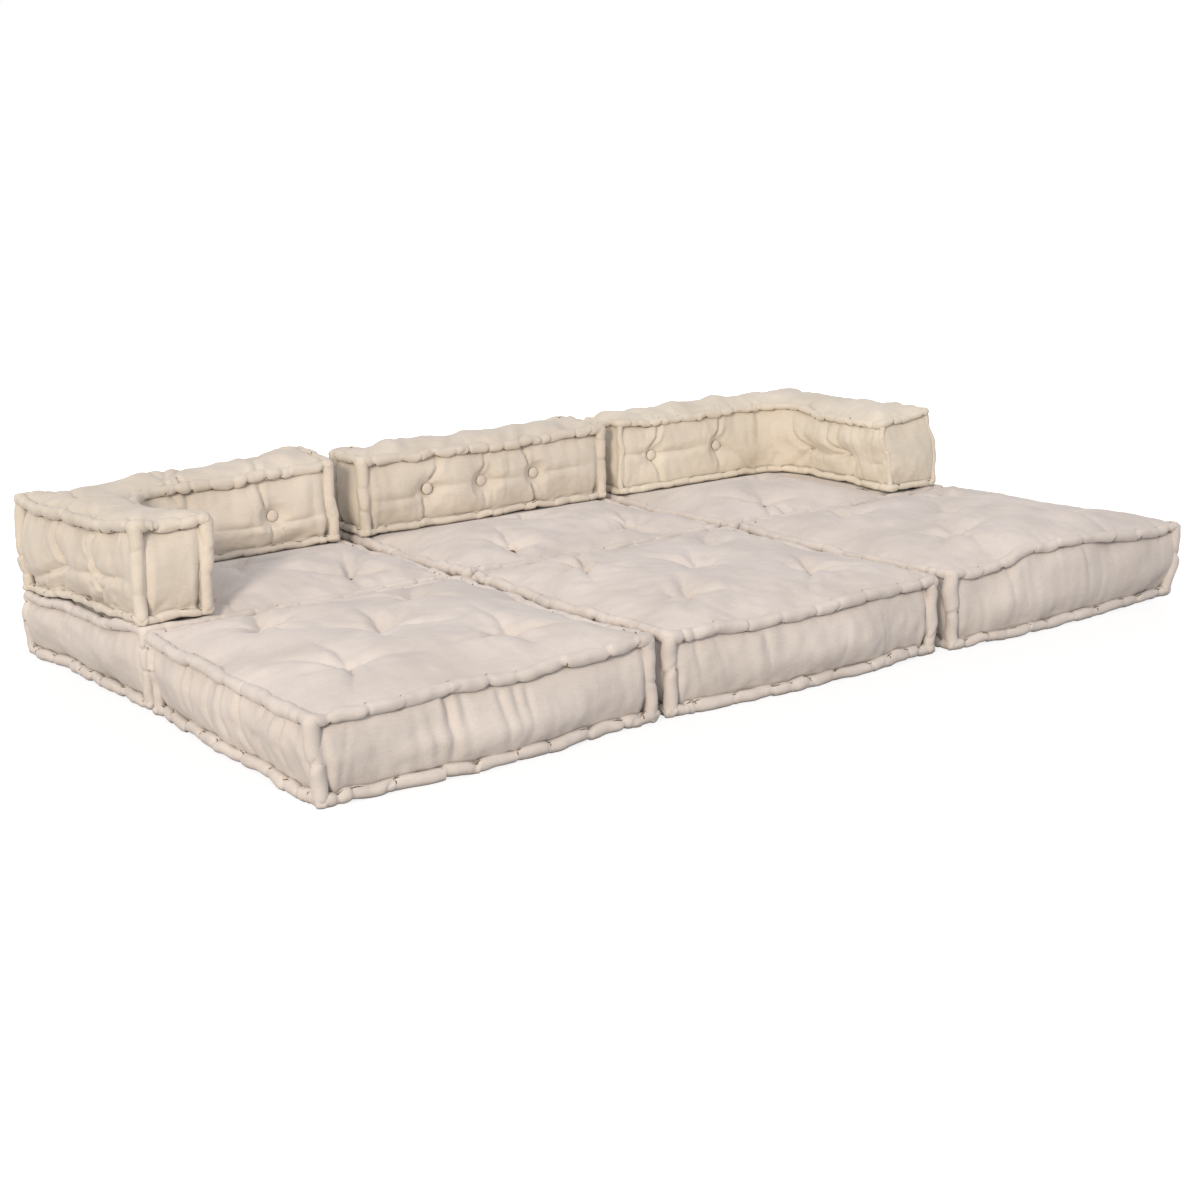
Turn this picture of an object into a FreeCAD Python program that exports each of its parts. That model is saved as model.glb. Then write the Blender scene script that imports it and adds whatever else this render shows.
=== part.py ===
import FreeCAD, Part
import math
import os
from collections import namedtuple

from FreeCAD import Placement, Rotation, Vector

# Modular floor sofa of loose tufted cushions: a front row and a rear row of three seat
# cushions, a straight back cushion in the middle and an L-shaped corner cushion at each end.
# Frame: +X to the right, +Y to the rear, +Z up, origin on the floor under the middle.

# Driving sizes, in millimetres, with what each one measures.
SIZES = {
    "SeatWidth": (705, "seat cushion along the row, over the rolled edges"),
    "FrontSeatDepth": (690, "front row cushion, front to rear, over the rolled edges"),
    "RearSeatDepth": (610, "rear row cushion, front to rear, over the rolled edges"),
    "SeatHeight": (170, "floor to the top of a seat cushion's upper roll"),
    "SeatCrown": (32, "rise of the stuffed seat top above its sewn edge"),
    "ColumnGap": (30, "free space between columns"),
    "RowGap": (20, "free space between the rows"),
    "BackHeight": (188, "back cushion, lower roll to upper roll"),
    "BackCrown": (20, "rise of a back cushion's top above its sewn edge"),
    "BackThickness": (158, "straight back, and the rear limb of a corner cushion"),
    "ArmThickness": (170, "side limb of a corner cushion"),
    "ArmSetback": (6, "arm front behind the front of the seat that carries it"),
    "LeftCornerWidth": (668, "left corner cushion along the row"),
    "CentreBackWidth": (700, "straight back cushion along the row"),
    "RightCornerWidth": (702, "right corner cushion along the row"),
    "RollDiameter": (22, "hand-stitched roll along the upper and lower edges"),
    "CornerRollDiameter": (20, "upright roll at a corner"),
    "EdgeFlat": (24, "width of the slanted strip that a roll is sewn to"),
    "SewClearance": (0.4, "free play between a roll and the case"),
    "CornerReach": (45, "how far a rounded corner reaches along each side"),
    "InnerCornerReach": (90, "the same at the inside corner of an L"),
    "SeamPull": (7, "how far a long sewn edge is drawn in between its corners"),
    "SideBulge": (6, "how far a side stands out between its two rolls"),
    "ClothThickness": (2, "cotton canvas with its lining"),
    "FillingClearance": (0.5, "free play between filling and case"),
    "TuftSpacing": (325, "left to right tuft of a seat cushion"),
    "FrontTuftSpacing": (345, "front to rear tuft of a front row cushion"),
    "RearTuftSpacing": (390, "front to rear tuft of a rear row cushion"),
    "SeatTuftDepth": (34, "tuft floor below the top of a seat's crown"),
    "SeatTuftReach": (70, "radius of a seat tuft's hollow"),
    "UnderTuftDepth": (12, "tuft recess in the underside"),
    "UnderTuftReach": (28, "radius of the recess in the underside"),
    "TwineDiameter": (3, "mattress twine"),
    "TwineClearance": (0.15, "free play of the twine in its hole, all round"),
    "KnotDiameter": (12, "knot that ends a tuft's twine"),
    "KnotThickness": (6, "height of that knot"),
    "KnotMargin": (2, "tuft floor beyond the edge of a knot"),
    "SeatingClearance": (0.3, "a knot or a button above its tuft floor"),
    "ButtonDiameter": (28, "cloth-covered button"),
    "ButtonRise": (7, "button crown above its widest line"),
    "ButtonMargin": (2, "tuft floor beyond the edge of a button"),
    "ButtonLevel": (90, "button centre above the foot of a back cushion"),
    "BackTuftDepth": (22, "tuft floor below the face of a back cushion"),
    "BackTuftReach": (56, "radius of a back tuft's hollow"),
    "CentreFirstButton": (183, "left end of the straight back to its first button"),
    "CentreButtonSpacing": (151, "button to button on the straight back"),
    "LeftFirstButton": (153, "free end of the left corner cushion to its first button"),
    "RightFirstButton": (112, "free end of the right corner cushion to its first button"),
    "CornerButtonSpacing": (212, "first to second button of a corner cushion"),
    "ArmTuftLevel": (65, "an arm's tufts above the foot of a corner cushion"),
    "LeftFirstTuft": (224, "front of the left arm to its first tuft"),
    "LeftTuftSpacing": (158, "first to second tuft of the left arm"),
    "RightFirstTuft": (184, "front of the right arm to its first tuft"),
    "RightTuftSpacing": (156, "first to second tuft of the right arm"),
    "RestClearance": (0.3, "a back cushion above the rolls that it lies on"),
    "PressMargin": (4, "pressed-down seat in front of a back cushion's foot"),
}

# Each ring of a crown: share of the half width in from the edge, share of the rise, and
# corner reach as a share of its least width.
CROWN_RINGS = ((0.12, 0.50, 0.10), (0.34, 0.86, 0.22), (0.64, 1.0, 0.34))
CROWN_PULL = 0.5  # pull of a crown's rings, as a share of the seam's
TOOL_REACH = 60  # how far a cutting shape runs past the cushion
BUTTON_CUT = 30  # degrees of latitude from a button's widest line down to its flat back
CENTRE_BUTTONS = 3  # on the straight back
SEWING_TOLERANCE = 0.001
UP = Vector(0, 0, 1)
LEFT, RIGHT = -1, 1
SIDE_NAMES = {LEFT: "Left", RIGHT: "Right"}
CENTRE = 1  # the middle one of the three columns, which count from 0 at the left
FRONT, REAR = 0, 1

Tuft = namedtuple("Tuft", "spot axis floor face reach foot_floor foot_face foot_reach floor_reach")

doc = FreeCAD.newDocument("modular_sofa")
sheet = doc.addObject("Spreadsheet::Sheet", "Sizes")
for row, (alias, (value, meaning)) in enumerate(SIZES.items(), start=1):
    sheet.set(f"A{row}", alias)
    sheet.set(f"B{row}", str(value))
    sheet.set(f"C{row}", meaning)
    sheet.setAlias(f"B{row}", alias)
doc.recompute()


def size(alias):
    """The value of one driving size."""
    return float(sheet.get(alias))


# Sizes that follow from the driving ones. A roll lies in the angle of the slanted strip.
roll_radius = size("RollDiameter") / 2
nest = (roll_radius + size("SewClearance")) / math.sqrt(2)
roll_inset = size("EdgeFlat") / 2 - nest
roll_proud = roll_radius - roll_inset
strip_top = size("EdgeFlat") / 2 + roll_radius + nest
total_depth = size("FrontSeatDepth") + size("RowGap") + size("RearSeatDepth")
arm_length = size("RearSeatDepth") - size("ArmSetback")
rest_height = size("SeatHeight") + size("RestClearance")


# Plan outlines

def rectangle(width, depth):
    """Corners of a rectangle round the origin, anticlockwise, each with its reach."""
    x, y = width / 2, depth / 2
    reach = size("CornerReach")
    return [(-x, -y, reach), (x, -y, reach), (x, y, reach), (-x, y, reach)]


def corner_shape(width, depth, side):
    """Corners of an L whose arm runs forward at its left or its right end."""
    x, y = width / 2, depth / 2
    arm, back = size("ArmThickness"), size("BackThickness")
    reach, inner = size("CornerReach"), size("InnerCornerReach")
    points = [
        (-x, -y, reach), (-x + arm, -y, reach), (-x + arm, y - back, inner),
        (x, y - back, reach), (x, y, reach), (-x, y, reach),
    ]
    if side == RIGHT:
        points = [(-px, py, r) for px, py, r in reversed(points)]
    return points


def neighbours(corners, i):
    """A corner with the ones before and after it, as points on the floor."""
    trio = (corners[i - 1], corners[i], corners[(i + 1) % len(corners)])
    return [Vector(x, y, 0) for x, y, _ in trio]


def inset(corners, distance):
    """The outline moved inwards by a distance, its rounded corners concentric."""
    moved = []
    for i, (_, _, reach) in enumerate(corners):
        before, here, after = neighbours(corners, i)
        along_in, along_out = (here - before).normalize(), (after - here).normalize()
        turn = along_in.cross(along_out).z
        spot = here + UP.cross(along_in + along_out) * distance
        moved.append((spot.x, spot.y, reach - math.copysign(distance, turn)))
    return moved


def rounder(corners, share):
    """The outline with its outer corners rounded by a share of its least width."""
    reach = share * narrowest(corners)
    rounded = []
    for i, (x, y, own_reach) in enumerate(corners):
        before, here, after = neighbours(corners, i)
        is_outer = (here - before).cross(after - here).z > 0
        rounded.append((x, y, reach if is_outer else own_reach))
    return rounded


def narrowest(corners):
    """The shortest side of an outline, which is its least width."""
    lengths = []
    for i in range(len(corners)):
        before, here, _ = neighbours(corners, i)
        lengths.append((here - before).Length)
    return min(lengths)


def outline_points(corners, height, pull):
    """For each side its start, middle and end, and the crest of the rounded corner after
    it. A positive pull draws the middle of each side in, less on a shorter side; a negative
    one bows every side out by that much."""
    points = [Vector(x, y, height) for x, y, _ in corners]
    reaches = [reach for _, _, reach in corners]
    count = len(corners)
    sides = []
    for i in range(count):
        start, end = points[i], points[(i + 1) % count]
        start_reach, end_reach = reaches[i], reaches[(i + 1) % count]
        length = (end - start).Length
        along = (end - start).normalize()
        bow = pull * min(1, length / size("SeatWidth")) if pull > 0 else pull
        reach_sum = start_reach + end_reach
        lean = bow / (reach_sum / 2 + (length - reach_sum) / 4)
        inward = UP.cross(along)
        leave = along * math.cos(lean) + inward * math.sin(lean)
        arrive = along * math.cos(lean) - inward * math.sin(lean)
        begin = start + leave * start_reach
        finish = end - arrive * end_reach
        middle = (begin + finish) / 2 + inward * (finish - begin).Length / 2 * math.tan(lean / 2)
        sides.append((begin, middle, finish, leave, arrive))
    rows = []
    for i in range(count):
        begin, middle, finish, _, arrive = sides[i]
        following = (i + 1) % count
        next_leave = sides[following][3]
        quarter_turn = arrive.getAngle(next_leave) / 4
        towards = (next_leave - arrive).normalize()
        crest = points[following] + towards * reaches[following] * math.tan(quarter_turn)
        rows.append((begin, middle, finish, crest))
    return rows


def outline(corners, height, pull):
    """A closed smooth wire of arcs, one along each side and one round each corner."""
    rows = outline_points(corners, height, pull)
    edges = []
    for i, (begin, middle, finish, crest) in enumerate(rows):
        next_begin = rows[(i + 1) % len(rows)][0]
        edges.append(Part.Arc(begin, middle, finish).toShape())
        edges.append(Part.Arc(finish, crest, next_begin).toShape())
    return Part.Wire(edges)


# Cushion forms

def seam_level(height):
    """Level of the sewn edge of a crown: the inner edge of the slanted strip."""
    return height - roll_proud


def cushion_form(corners, height, crown, cloth):
    """A stuffed cushion as one solid: flat foot, slanted strips for the rolls, sides that
    are drawn in at the seams and bulge between them, and a crowned top. Cloth is how far
    all of it lies inside the outer face."""
    pull, bulge = size("SeamPull"), -size("SideBulge")
    foot = inset(corners, roll_proud + strip_top + cloth)
    side = inset(corners, roll_proud + cloth)
    rim = inset(corners, roll_proud + size("EdgeFlat") + cloth)
    rim_height = seam_level(height)
    side_top = rim_height - size("EdgeFlat")
    foot_wire = outline(foot, cloth, pull)
    low_wire = outline(side, strip_top, pull)
    middle_wire = outline(side, (strip_top + side_top) / 2, bulge)
    high_wire = outline(side, side_top, pull)
    rings = [outline(rim, rim_height - cloth, pull)]
    for share_in, share_up, roundness in CROWN_RINGS:
        ring = rounder(inset(rim, share_in * narrowest(rim) / 2), roundness)
        rings.append(outline(ring, rim_height - cloth + share_up * crown, pull * CROWN_PULL))
    faces = [Part.Face(foot_wire), Part.Face(rings[-1])]
    faces += Part.makeLoft([foot_wire, low_wire], False, True).Faces
    faces += Part.makeLoft([low_wire, middle_wire, high_wire], False, False).Faces
    faces += Part.makeLoft([high_wire, rings[0]], False, True).Faces
    faces += Part.makeLoft(rings, False, False).Faces
    shell = Part.makeCompound(faces)
    shell.sewShape(SEWING_TOLERANCE)
    solid = Part.makeSolid(shell)
    if solid.Volume < 0:
        solid.reverse()
    return solid


def hollow_tool(spot, axis, floor, face, floor_reach, reach, cloth):
    """The shape that cuts one tuft hollow: a bell with a flat floor, which flares out to
    the cushion's face. Floor and face are measured from the spot along the axis."""
    start = Vector(floor_reach + cloth, 0, floor - cloth)
    end = Vector(reach + cloth, 0, face - cloth)
    shoulder = math.sin(math.pi / 4)
    middle = start + Vector((end.x - start.x) * (1 - shoulder), 0, (end.z - start.z) * shoulder)
    top = face + TOOL_REACH
    corners = [end, Vector(end.x, 0, top), Vector(0, 0, top), Vector(0, 0, start.z), start]
    edges = [Part.Arc(start, middle, end).toShape()]
    for here, there in zip(corners, corners[1:]):
        edges.append(Part.LineSegment(here, there).toShape())
    bell = Part.Face(Part.Wire(edges)).revolve(Vector(0, 0, 0), UP, 360)
    bell.Placement = Placement(spot, Rotation(UP, axis))
    return bell


def pressing_tool(laid_on, height, cloth):
    """The block that flattens a crown to the rolls' top under the foot of the cushion
    that is laid on it."""
    grown = inset(laid_on, -size("PressMargin") - cloth)
    foot = Part.Face(outline(grown, height - cloth, -size("SideBulge")))
    return foot.extrude(UP * TOOL_REACH)


def tufted_form(corners, height, crown, tufts, laid_on, cloth):
    """A cushion form with its tufts drawn in, pressed flat under what is laid on it."""
    tools = []
    for tuft in tufts:
        tools.append(hollow_tool(
            tuft.spot, tuft.axis, tuft.floor, tuft.face, tuft.floor_reach, tuft.reach, cloth
        ))
        tools.append(hollow_tool(
            tuft.spot, -tuft.axis, -tuft.foot_floor, -tuft.foot_face, tuft.floor_reach,
            tuft.foot_reach, cloth
        ))
    if laid_on:
        tools.append(pressing_tool(laid_on, height, cloth))
    return cushion_form(corners, height, crown, cloth).cut(tools)


# Tufts

def seat_tufts(depth_spacing):
    """Five tufts through a seat cushion, four round one. Each is tied down from above."""
    across, along = size("TuftSpacing") / 2, depth_spacing / 2
    face = seam_level(size("SeatHeight")) + size("SeatCrown")
    tufts = []
    for x, y in ((0, 0), (-across, -along), (across, -along), (-across, along), (across, along)):
        tufts.append(Tuft(
            spot=Vector(x, y, 0), axis=UP, floor=face - size("SeatTuftDepth"), face=face,
            reach=size("SeatTuftReach"), foot_floor=size("UnderTuftDepth"), foot_face=0,
            foot_reach=size("UnderTuftReach"),
            floor_reach=size("KnotDiameter") / 2 + size("KnotMargin"),
        ))
    return tufts


def limb_tufts(spots, axis, thickness, end_diameter, end_margin):
    """Tufts through a limb of a back cushion, alike on both faces. A spot lies midway
    between the faces."""
    face = thickness / 2
    floor = face - size("BackTuftDepth")
    tufts = []
    for spot in spots:
        tufts.append(Tuft(
            spot=spot, axis=axis, floor=floor, face=face, reach=size("BackTuftReach"),
            foot_floor=-floor, foot_face=-face, foot_reach=size("BackTuftReach"),
            floor_reach=end_diameter / 2 + end_margin,
        ))
    return tufts


def buttoned_tufts(spots, axis, thickness):
    """Tufts with a button on the face that the axis points out of."""
    return limb_tufts(spots, axis, thickness, size("ButtonDiameter"), size("ButtonMargin"))


def knotted_tufts(spots, axis, thickness):
    """Tufts with a knot on both faces."""
    return limb_tufts(spots, axis, thickness, size("KnotDiameter"), size("KnotMargin"))


# Document objects of the pieces

def working_shape(name, shape):
    """A shape that other objects are made from."""
    feature = doc.addObject("Part::Feature", name)
    feature.Shape = shape
    return feature


def less(name, base, tool):
    """The base with the tool taken away."""
    feature = doc.addObject("Part::Cut", name)
    feature.Base = base
    feature.Tool = tool
    return feature


def group(name, members):
    """Separate solids under one name."""
    feature = doc.addObject("Part::Compound", name)
    feature.Links = members
    return feature


def twine_holes(name, tufts):
    """A straight hole for the twine of each tuft, right through the cushion."""
    holes = []
    for number, tuft in enumerate(tufts, start=1):
        hole = doc.addObject("Part::Cylinder", f"{name}_{number}")
        hole.setExpression("Radius", "Sizes.TwineDiameter / 2 + Sizes.TwineClearance")
        hole.Height = tuft.face - tuft.foot_face + 2 * TOOL_REACH
        start = tuft.spot + tuft.axis * (tuft.foot_face - TOOL_REACH)
        hole.Placement = Placement(start, Rotation(UP, tuft.axis))
        holes.append(hole)
    return group(name, holes)


def roll_ring(name, corners, level):
    """One roll along a whole seam: a round bar on a closed smooth path."""
    path_wire = outline(inset(corners, roll_proud + roll_inset), level, size("SeamPull"))
    first = path_wire.Edges[0]
    start = first.FirstParameter
    section = doc.addObject("Part::Circle", name + "_section")
    section.setExpression("Radius", "Sizes.RollDiameter / 2")
    section.Placement = Placement(first.valueAt(start), Rotation(UP, first.tangentAt(start)))
    ring = doc.addObject("Part::Sweep", name)
    ring.Sections = [section]
    ring.Spine = (working_shape(name + "_path", path_wire), [])
    ring.Solid = True
    ring.Frenet = False
    return ring


def corner_rolls(name, corners, height_alias):
    """Upright rolls outside the rounded corners, from the lower roll to the upper one."""
    side = inset(corners, roll_proud)
    rows = outline_points(side, 0, -size("SideBulge"))
    bars = []
    for i in range(len(side)):
        before, here, after = neighbours(side, i)
        if (here - before).cross(after - here).z < 0:
            continue
        crest = rows[i - 1][3]
        outward = ((here - before).normalize() - (after - here).normalize()).normalize()
        offset = size("CornerRollDiameter") / 2 + size("SewClearance")
        place = crest + outward * offset + UP * (size("RollDiameter") + size("SewClearance"))
        bar = doc.addObject("Part::Cylinder", f"{name}_{len(bars) + 1}")
        bar.setExpression("Radius", "Sizes.CornerRollDiameter / 2")
        bar.setExpression(
            "Height", f"Sizes.{height_alias} - 2 * Sizes.RollDiameter - 2 * Sizes.SewClearance"
        )
        bar.Placement = Placement(place, Rotation())
        bars.append(bar)
    return group(name, bars)


def knot(name, tuft, floor, direction):
    """A flattened ball of tied twine that lies on a tuft floor."""
    ball = doc.addObject("Part::Ellipsoid", name)
    ball.setExpression("Radius1", "Sizes.KnotThickness / 2")
    ball.setExpression("Radius2", "Sizes.KnotDiameter / 2")
    ball.setExpression("Radius3", "Sizes.KnotDiameter / 2")
    rise = size("SeatingClearance") + size("KnotThickness") / 2
    place = tuft.spot + tuft.axis * (floor + direction * rise)
    ball.Placement = Placement(place, Rotation(UP, tuft.axis))
    return ball


def tuft_ties(name, tufts, buttoned_count):
    """The twine of each tuft with its knots. The first ones have a button at their upper
    end, and their twine stops level with the tuft floor behind it."""
    ties = []
    for number, tuft in enumerate(tufts, start=1):
        one = f"{name}_{number}"
        rise = size("SeatingClearance") + size("KnotThickness") / 2
        low = tuft.foot_floor - rise
        parts = [knot(one + "_foot_knot", tuft, tuft.foot_floor, -1)]
        if number > buttoned_count:
            parts.append(knot(one + "_knot", tuft, tuft.floor, 1))
            high = tuft.floor + rise
        else:
            high = tuft.floor
        twine = doc.addObject("Part::Cylinder", one + "_twine")
        twine.setExpression("Radius", "Sizes.TwineDiameter / 2")
        twine.Height = high - low
        twine.Placement = Placement(tuft.spot + tuft.axis * low, Rotation(UP, tuft.axis))
        tie = doc.addObject("Part::MultiFuse", one)
        tie.Shapes = [twine] + parts
        ties.append(tie)
    return group(name, ties)


def covered_buttons(name, tufts):
    """A domed button with a flat back on the upper floor of each tuft."""
    buttons = []
    for number, tuft in enumerate(tufts, start=1):
        button = doc.addObject("Part::Ellipsoid", f"{name}_{number}")
        button.setExpression("Radius1", "Sizes.ButtonRise")
        button.setExpression("Radius2", "Sizes.ButtonDiameter / 2")
        button.setExpression("Radius3", "Sizes.ButtonDiameter / 2")
        button.Angle1 = -BUTTON_CUT
        back = size("ButtonRise") * math.sin(math.radians(BUTTON_CUT))
        place = tuft.spot + tuft.axis * (tuft.floor + size("SeatingClearance") + back)
        button.Placement = Placement(place, Rotation(UP, tuft.axis))
        buttons.append(button)
    return group(name, buttons)


def cushion(name, corners, height_alias, crown, tufts, laid_on, buttoned_count, place):
    """All pieces of one cushion, built round the origin and then put in place."""
    height = size(height_alias)
    cloth = size("ClothThickness")
    loose = cloth + size("FillingClearance")
    case = working_shape(name + "_case", tufted_form(corners, height, crown, tufts, laid_on, 0))
    space = working_shape(
        name + "_space", tufted_form(corners, height, crown, tufts, laid_on, cloth)
    )
    stuffing = working_shape(
        name + "_stuffing", tufted_form(corners, height, crown, tufts, laid_on, loose)
    )
    holes = twine_holes(name + "_holes", tufts)
    pieces = {
        "cover": less(name + "_cover", less(name + "_skin", case, space), holes),
        "filling": less(name + "_filling", stuffing, holes),
        "top_roll": roll_ring(name + "_top_roll", corners, height - roll_radius),
        "bottom_roll": roll_ring(name + "_bottom_roll", corners, roll_radius),
        "corner_rolls": corner_rolls(name + "_corner_rolls", corners, height_alias),
        "tuft_ties": tuft_ties(name + "_tuft_ties", tufts, buttoned_count),
    }
    if buttoned_count:
        pieces["buttons"] = covered_buttons(name + "_buttons", tufts[:buttoned_count])
    for piece in pieces.values():
        piece.Placement = Placement(place, Rotation())
    return list(pieces.values())


# Places of the cushions

def column_middle(column):
    """Middle of a column of seats, counted from the left."""
    return (column - CENTRE) * (size("SeatWidth") + size("ColumnGap"))


def seat_place(column, row):
    """Foot centre of a seat cushion."""
    if row == FRONT:
        return Vector(column_middle(column), -total_depth / 2 + size("FrontSeatDepth") / 2, 0)
    return Vector(column_middle(column), total_depth / 2 - size("RearSeatDepth") / 2, 0)


def back_plan(column):
    """Plan corners of a back cushion round its own middle, and where that middle lies. A
    corner cushion is flush with the outer and rear edges of its seat."""
    middle = column_middle(column)
    if column == CENTRE:
        thickness = size("BackThickness")
        corners = rectangle(size("CentreBackWidth"), thickness)
        return corners, Vector(middle, total_depth / 2 - thickness / 2, rest_height)
    side = column - CENTRE
    width = size(SIDE_NAMES[side] + "CornerWidth")
    x = middle + side * (size("SeatWidth") - width) / 2
    corners = corner_shape(width, arm_length, side)
    return corners, Vector(x, total_depth / 2 - arm_length / 2, rest_height)


def corner_back(name, column):
    """An L-shaped corner cushion: buttons on the rear limb, knotted tufts in the arm."""
    corners, place = back_plan(column)
    side = column - CENTRE
    label = SIDE_NAMES[side]
    end, arm_front = size(label + "CornerWidth") / 2, -arm_length / 2
    button_level, tuft_level = size("ButtonLevel"), size("ArmTuftLevel")
    limb_y = arm_length / 2 - size("BackThickness") / 2
    limb_x = side * (end - size("ArmThickness") / 2)
    first_button = side * (size(label + "FirstButton") - end)
    button_xs = [first_button, first_button + side * size("CornerButtonSpacing")]
    first_tuft = arm_front + size(label + "FirstTuft")
    tuft_ys = [first_tuft, first_tuft + size(label + "TuftSpacing")]
    buttoned = buttoned_tufts(
        [Vector(x, limb_y, button_level) for x in button_xs], Vector(0, -1, 0),
        size("BackThickness")
    )
    knotted = knotted_tufts(
        [Vector(limb_x, y, tuft_level) for y in tuft_ys], Vector(-side, 0, 0),
        size("ArmThickness")
    )
    return cushion(
        name, corners, "BackHeight", size("BackCrown"), buttoned + knotted, None,
        len(buttoned), place
    )


def straight_back(name):
    """The straight back cushion, in the middle of its seat's rear edge."""
    corners, place = back_plan(CENTRE)
    first = size("CentreFirstButton") - size("CentreBackWidth") / 2
    xs = [first + i * size("CentreButtonSpacing") for i in range(CENTRE_BUTTONS)]
    tufts = buttoned_tufts(
        [Vector(x, 0, size("ButtonLevel")) for x in xs], Vector(0, -1, 0), size("BackThickness")
    )
    return cushion(
        name, corners, "BackHeight", size("BackCrown"), tufts, None, len(tufts), place
    )


def front_seat(name, column):
    """A front row seat, which nothing lies on."""
    corners = rectangle(size("SeatWidth"), size("FrontSeatDepth"))
    tufts = seat_tufts(size("FrontTuftSpacing"))
    place = seat_place(column, FRONT)
    return cushion(name, corners, "SeatHeight", size("SeatCrown"), tufts, None, 0, place)


def rear_seat(name, column):
    """A rear row seat, pressed down where its back cushion lies."""
    corners = rectangle(size("SeatWidth"), size("RearSeatDepth"))
    tufts = seat_tufts(size("RearTuftSpacing"))
    place = seat_place(column, REAR)
    back_corners, back_place = back_plan(column)
    shift = back_place - place
    laid_on = [(x + shift.x, y + shift.y, reach) for x, y, reach in back_corners]
    return cushion(name, corners, "SeatHeight", size("SeatCrown"), tufts, laid_on, 0, place)


sub_parts = []
for column, place_name in enumerate(("left", "centre", "right")):
    sub_parts += front_seat(f"front_{place_name}", column)
    sub_parts += rear_seat(f"rear_{place_name}", column)
sub_parts += corner_back("left_back", LEFT + CENTRE)
sub_parts += straight_back("centre_back")
sub_parts += corner_back("right_back", RIGHT + CENTRE)

doc.recompute()

# Nothing is written unless every object and every piece is sound.
for item in doc.Objects:
    if "Invalid" in item.State or "Error" in item.State:
        raise RuntimeError(f"{item.Label} failed: {item.State}")
for piece in sub_parts:
    if piece.Shape.isNull() or not piece.Shape.isValid() or piece.Shape.Volume <= 0:
        raise RuntimeError(f"{piece.Label} is not a sound shape")

os.makedirs("parts", exist_ok=True)
for piece in sub_parts:
    piece.Shape.exportStep(f"parts/{piece.Label}.step")
print(f"{len(sub_parts)} sub-parts written")
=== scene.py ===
import bpy
import math
import numpy as np
from mathutils import Matrix, Vector
from mathutils.kdtree import KDTree


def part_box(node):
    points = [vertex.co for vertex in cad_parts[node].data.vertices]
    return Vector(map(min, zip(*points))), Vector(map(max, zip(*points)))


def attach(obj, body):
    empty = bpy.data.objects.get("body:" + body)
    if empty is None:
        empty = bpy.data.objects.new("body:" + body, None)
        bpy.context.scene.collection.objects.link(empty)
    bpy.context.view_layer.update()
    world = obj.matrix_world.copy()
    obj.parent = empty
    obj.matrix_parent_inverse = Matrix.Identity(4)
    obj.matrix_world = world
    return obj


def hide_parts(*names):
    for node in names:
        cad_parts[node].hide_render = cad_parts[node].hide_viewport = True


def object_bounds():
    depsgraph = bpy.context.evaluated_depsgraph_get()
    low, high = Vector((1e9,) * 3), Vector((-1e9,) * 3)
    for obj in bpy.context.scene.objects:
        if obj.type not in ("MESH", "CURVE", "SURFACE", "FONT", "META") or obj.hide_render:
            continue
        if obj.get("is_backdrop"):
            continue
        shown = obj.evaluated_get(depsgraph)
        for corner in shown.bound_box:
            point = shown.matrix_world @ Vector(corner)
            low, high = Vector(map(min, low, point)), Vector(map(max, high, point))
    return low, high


# Modular floor sofa: six tufted seat cushions, a straight back and two L-shaped corner backs.
# Metres, +X right, +Y rear, +Z up, floor at 0.

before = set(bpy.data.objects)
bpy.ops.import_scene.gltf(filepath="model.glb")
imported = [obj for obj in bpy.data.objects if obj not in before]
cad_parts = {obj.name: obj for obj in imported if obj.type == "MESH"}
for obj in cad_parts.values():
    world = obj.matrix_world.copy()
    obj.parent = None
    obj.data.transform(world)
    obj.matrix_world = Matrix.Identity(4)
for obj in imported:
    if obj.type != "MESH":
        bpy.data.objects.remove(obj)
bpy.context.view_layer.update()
print("frame loaded")


def linear(hexColour):
    # sRGB hex to the linear values that the nodes take
    parts = [int(hexColour[i:i + 2], 16) / 255 for i in (1, 3, 5)]
    return tuple(c / 12.92 if c <= 0.04045 else ((c + 0.055) / 1.055) ** 2.4 for c in parts) + (1,)


def addNode(tree, kind, values={}, links={}, **looks):
    node = tree.nodes.new("ShaderNode" + kind)
    for name, value in looks.items():
        setattr(node, name, value)
    for name, value in values.items():
        node.inputs[name].default_value = value
    for name, source in links.items():
        tree.links.new(source, node.inputs[name])
    return node


def ranged(tree, source, span, result):
    # carries a value over from one span to another
    values = dict(zip(("From Min", "From Max", "To Min", "To Max"), (*span, *result)))
    return addNode(tree, "MapRange", values, {"Value": source}).outputs[0]


def vectorStep(tree, operation, links, values={}, result=0):
    return addNode(tree, "VectorMath", values, links, operation=operation).outputs[result]


def bumped(tree, height, strength, distance, links={}):
    values = {"Strength": strength, "Distance": distance}
    return addNode(tree, "Bump", values, dict(links, Height=height)).outputs[0]


def freshMaterial(name):
    made = bpy.data.materials.new(name)
    made.use_nodes = True
    made.node_tree.nodes.clear()
    return made, made.node_tree


# Camera, light and floor

camera = {
    "place": (-2.4775, -3.468, 1.094),
    "yaw": 35.116,  # degrees from +Y towards +X
    "pitch": 13.698,  # degrees down
    "roll": -1.758,
    "lens": 58.94,  # mm on a 36 mm sensor
}


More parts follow.
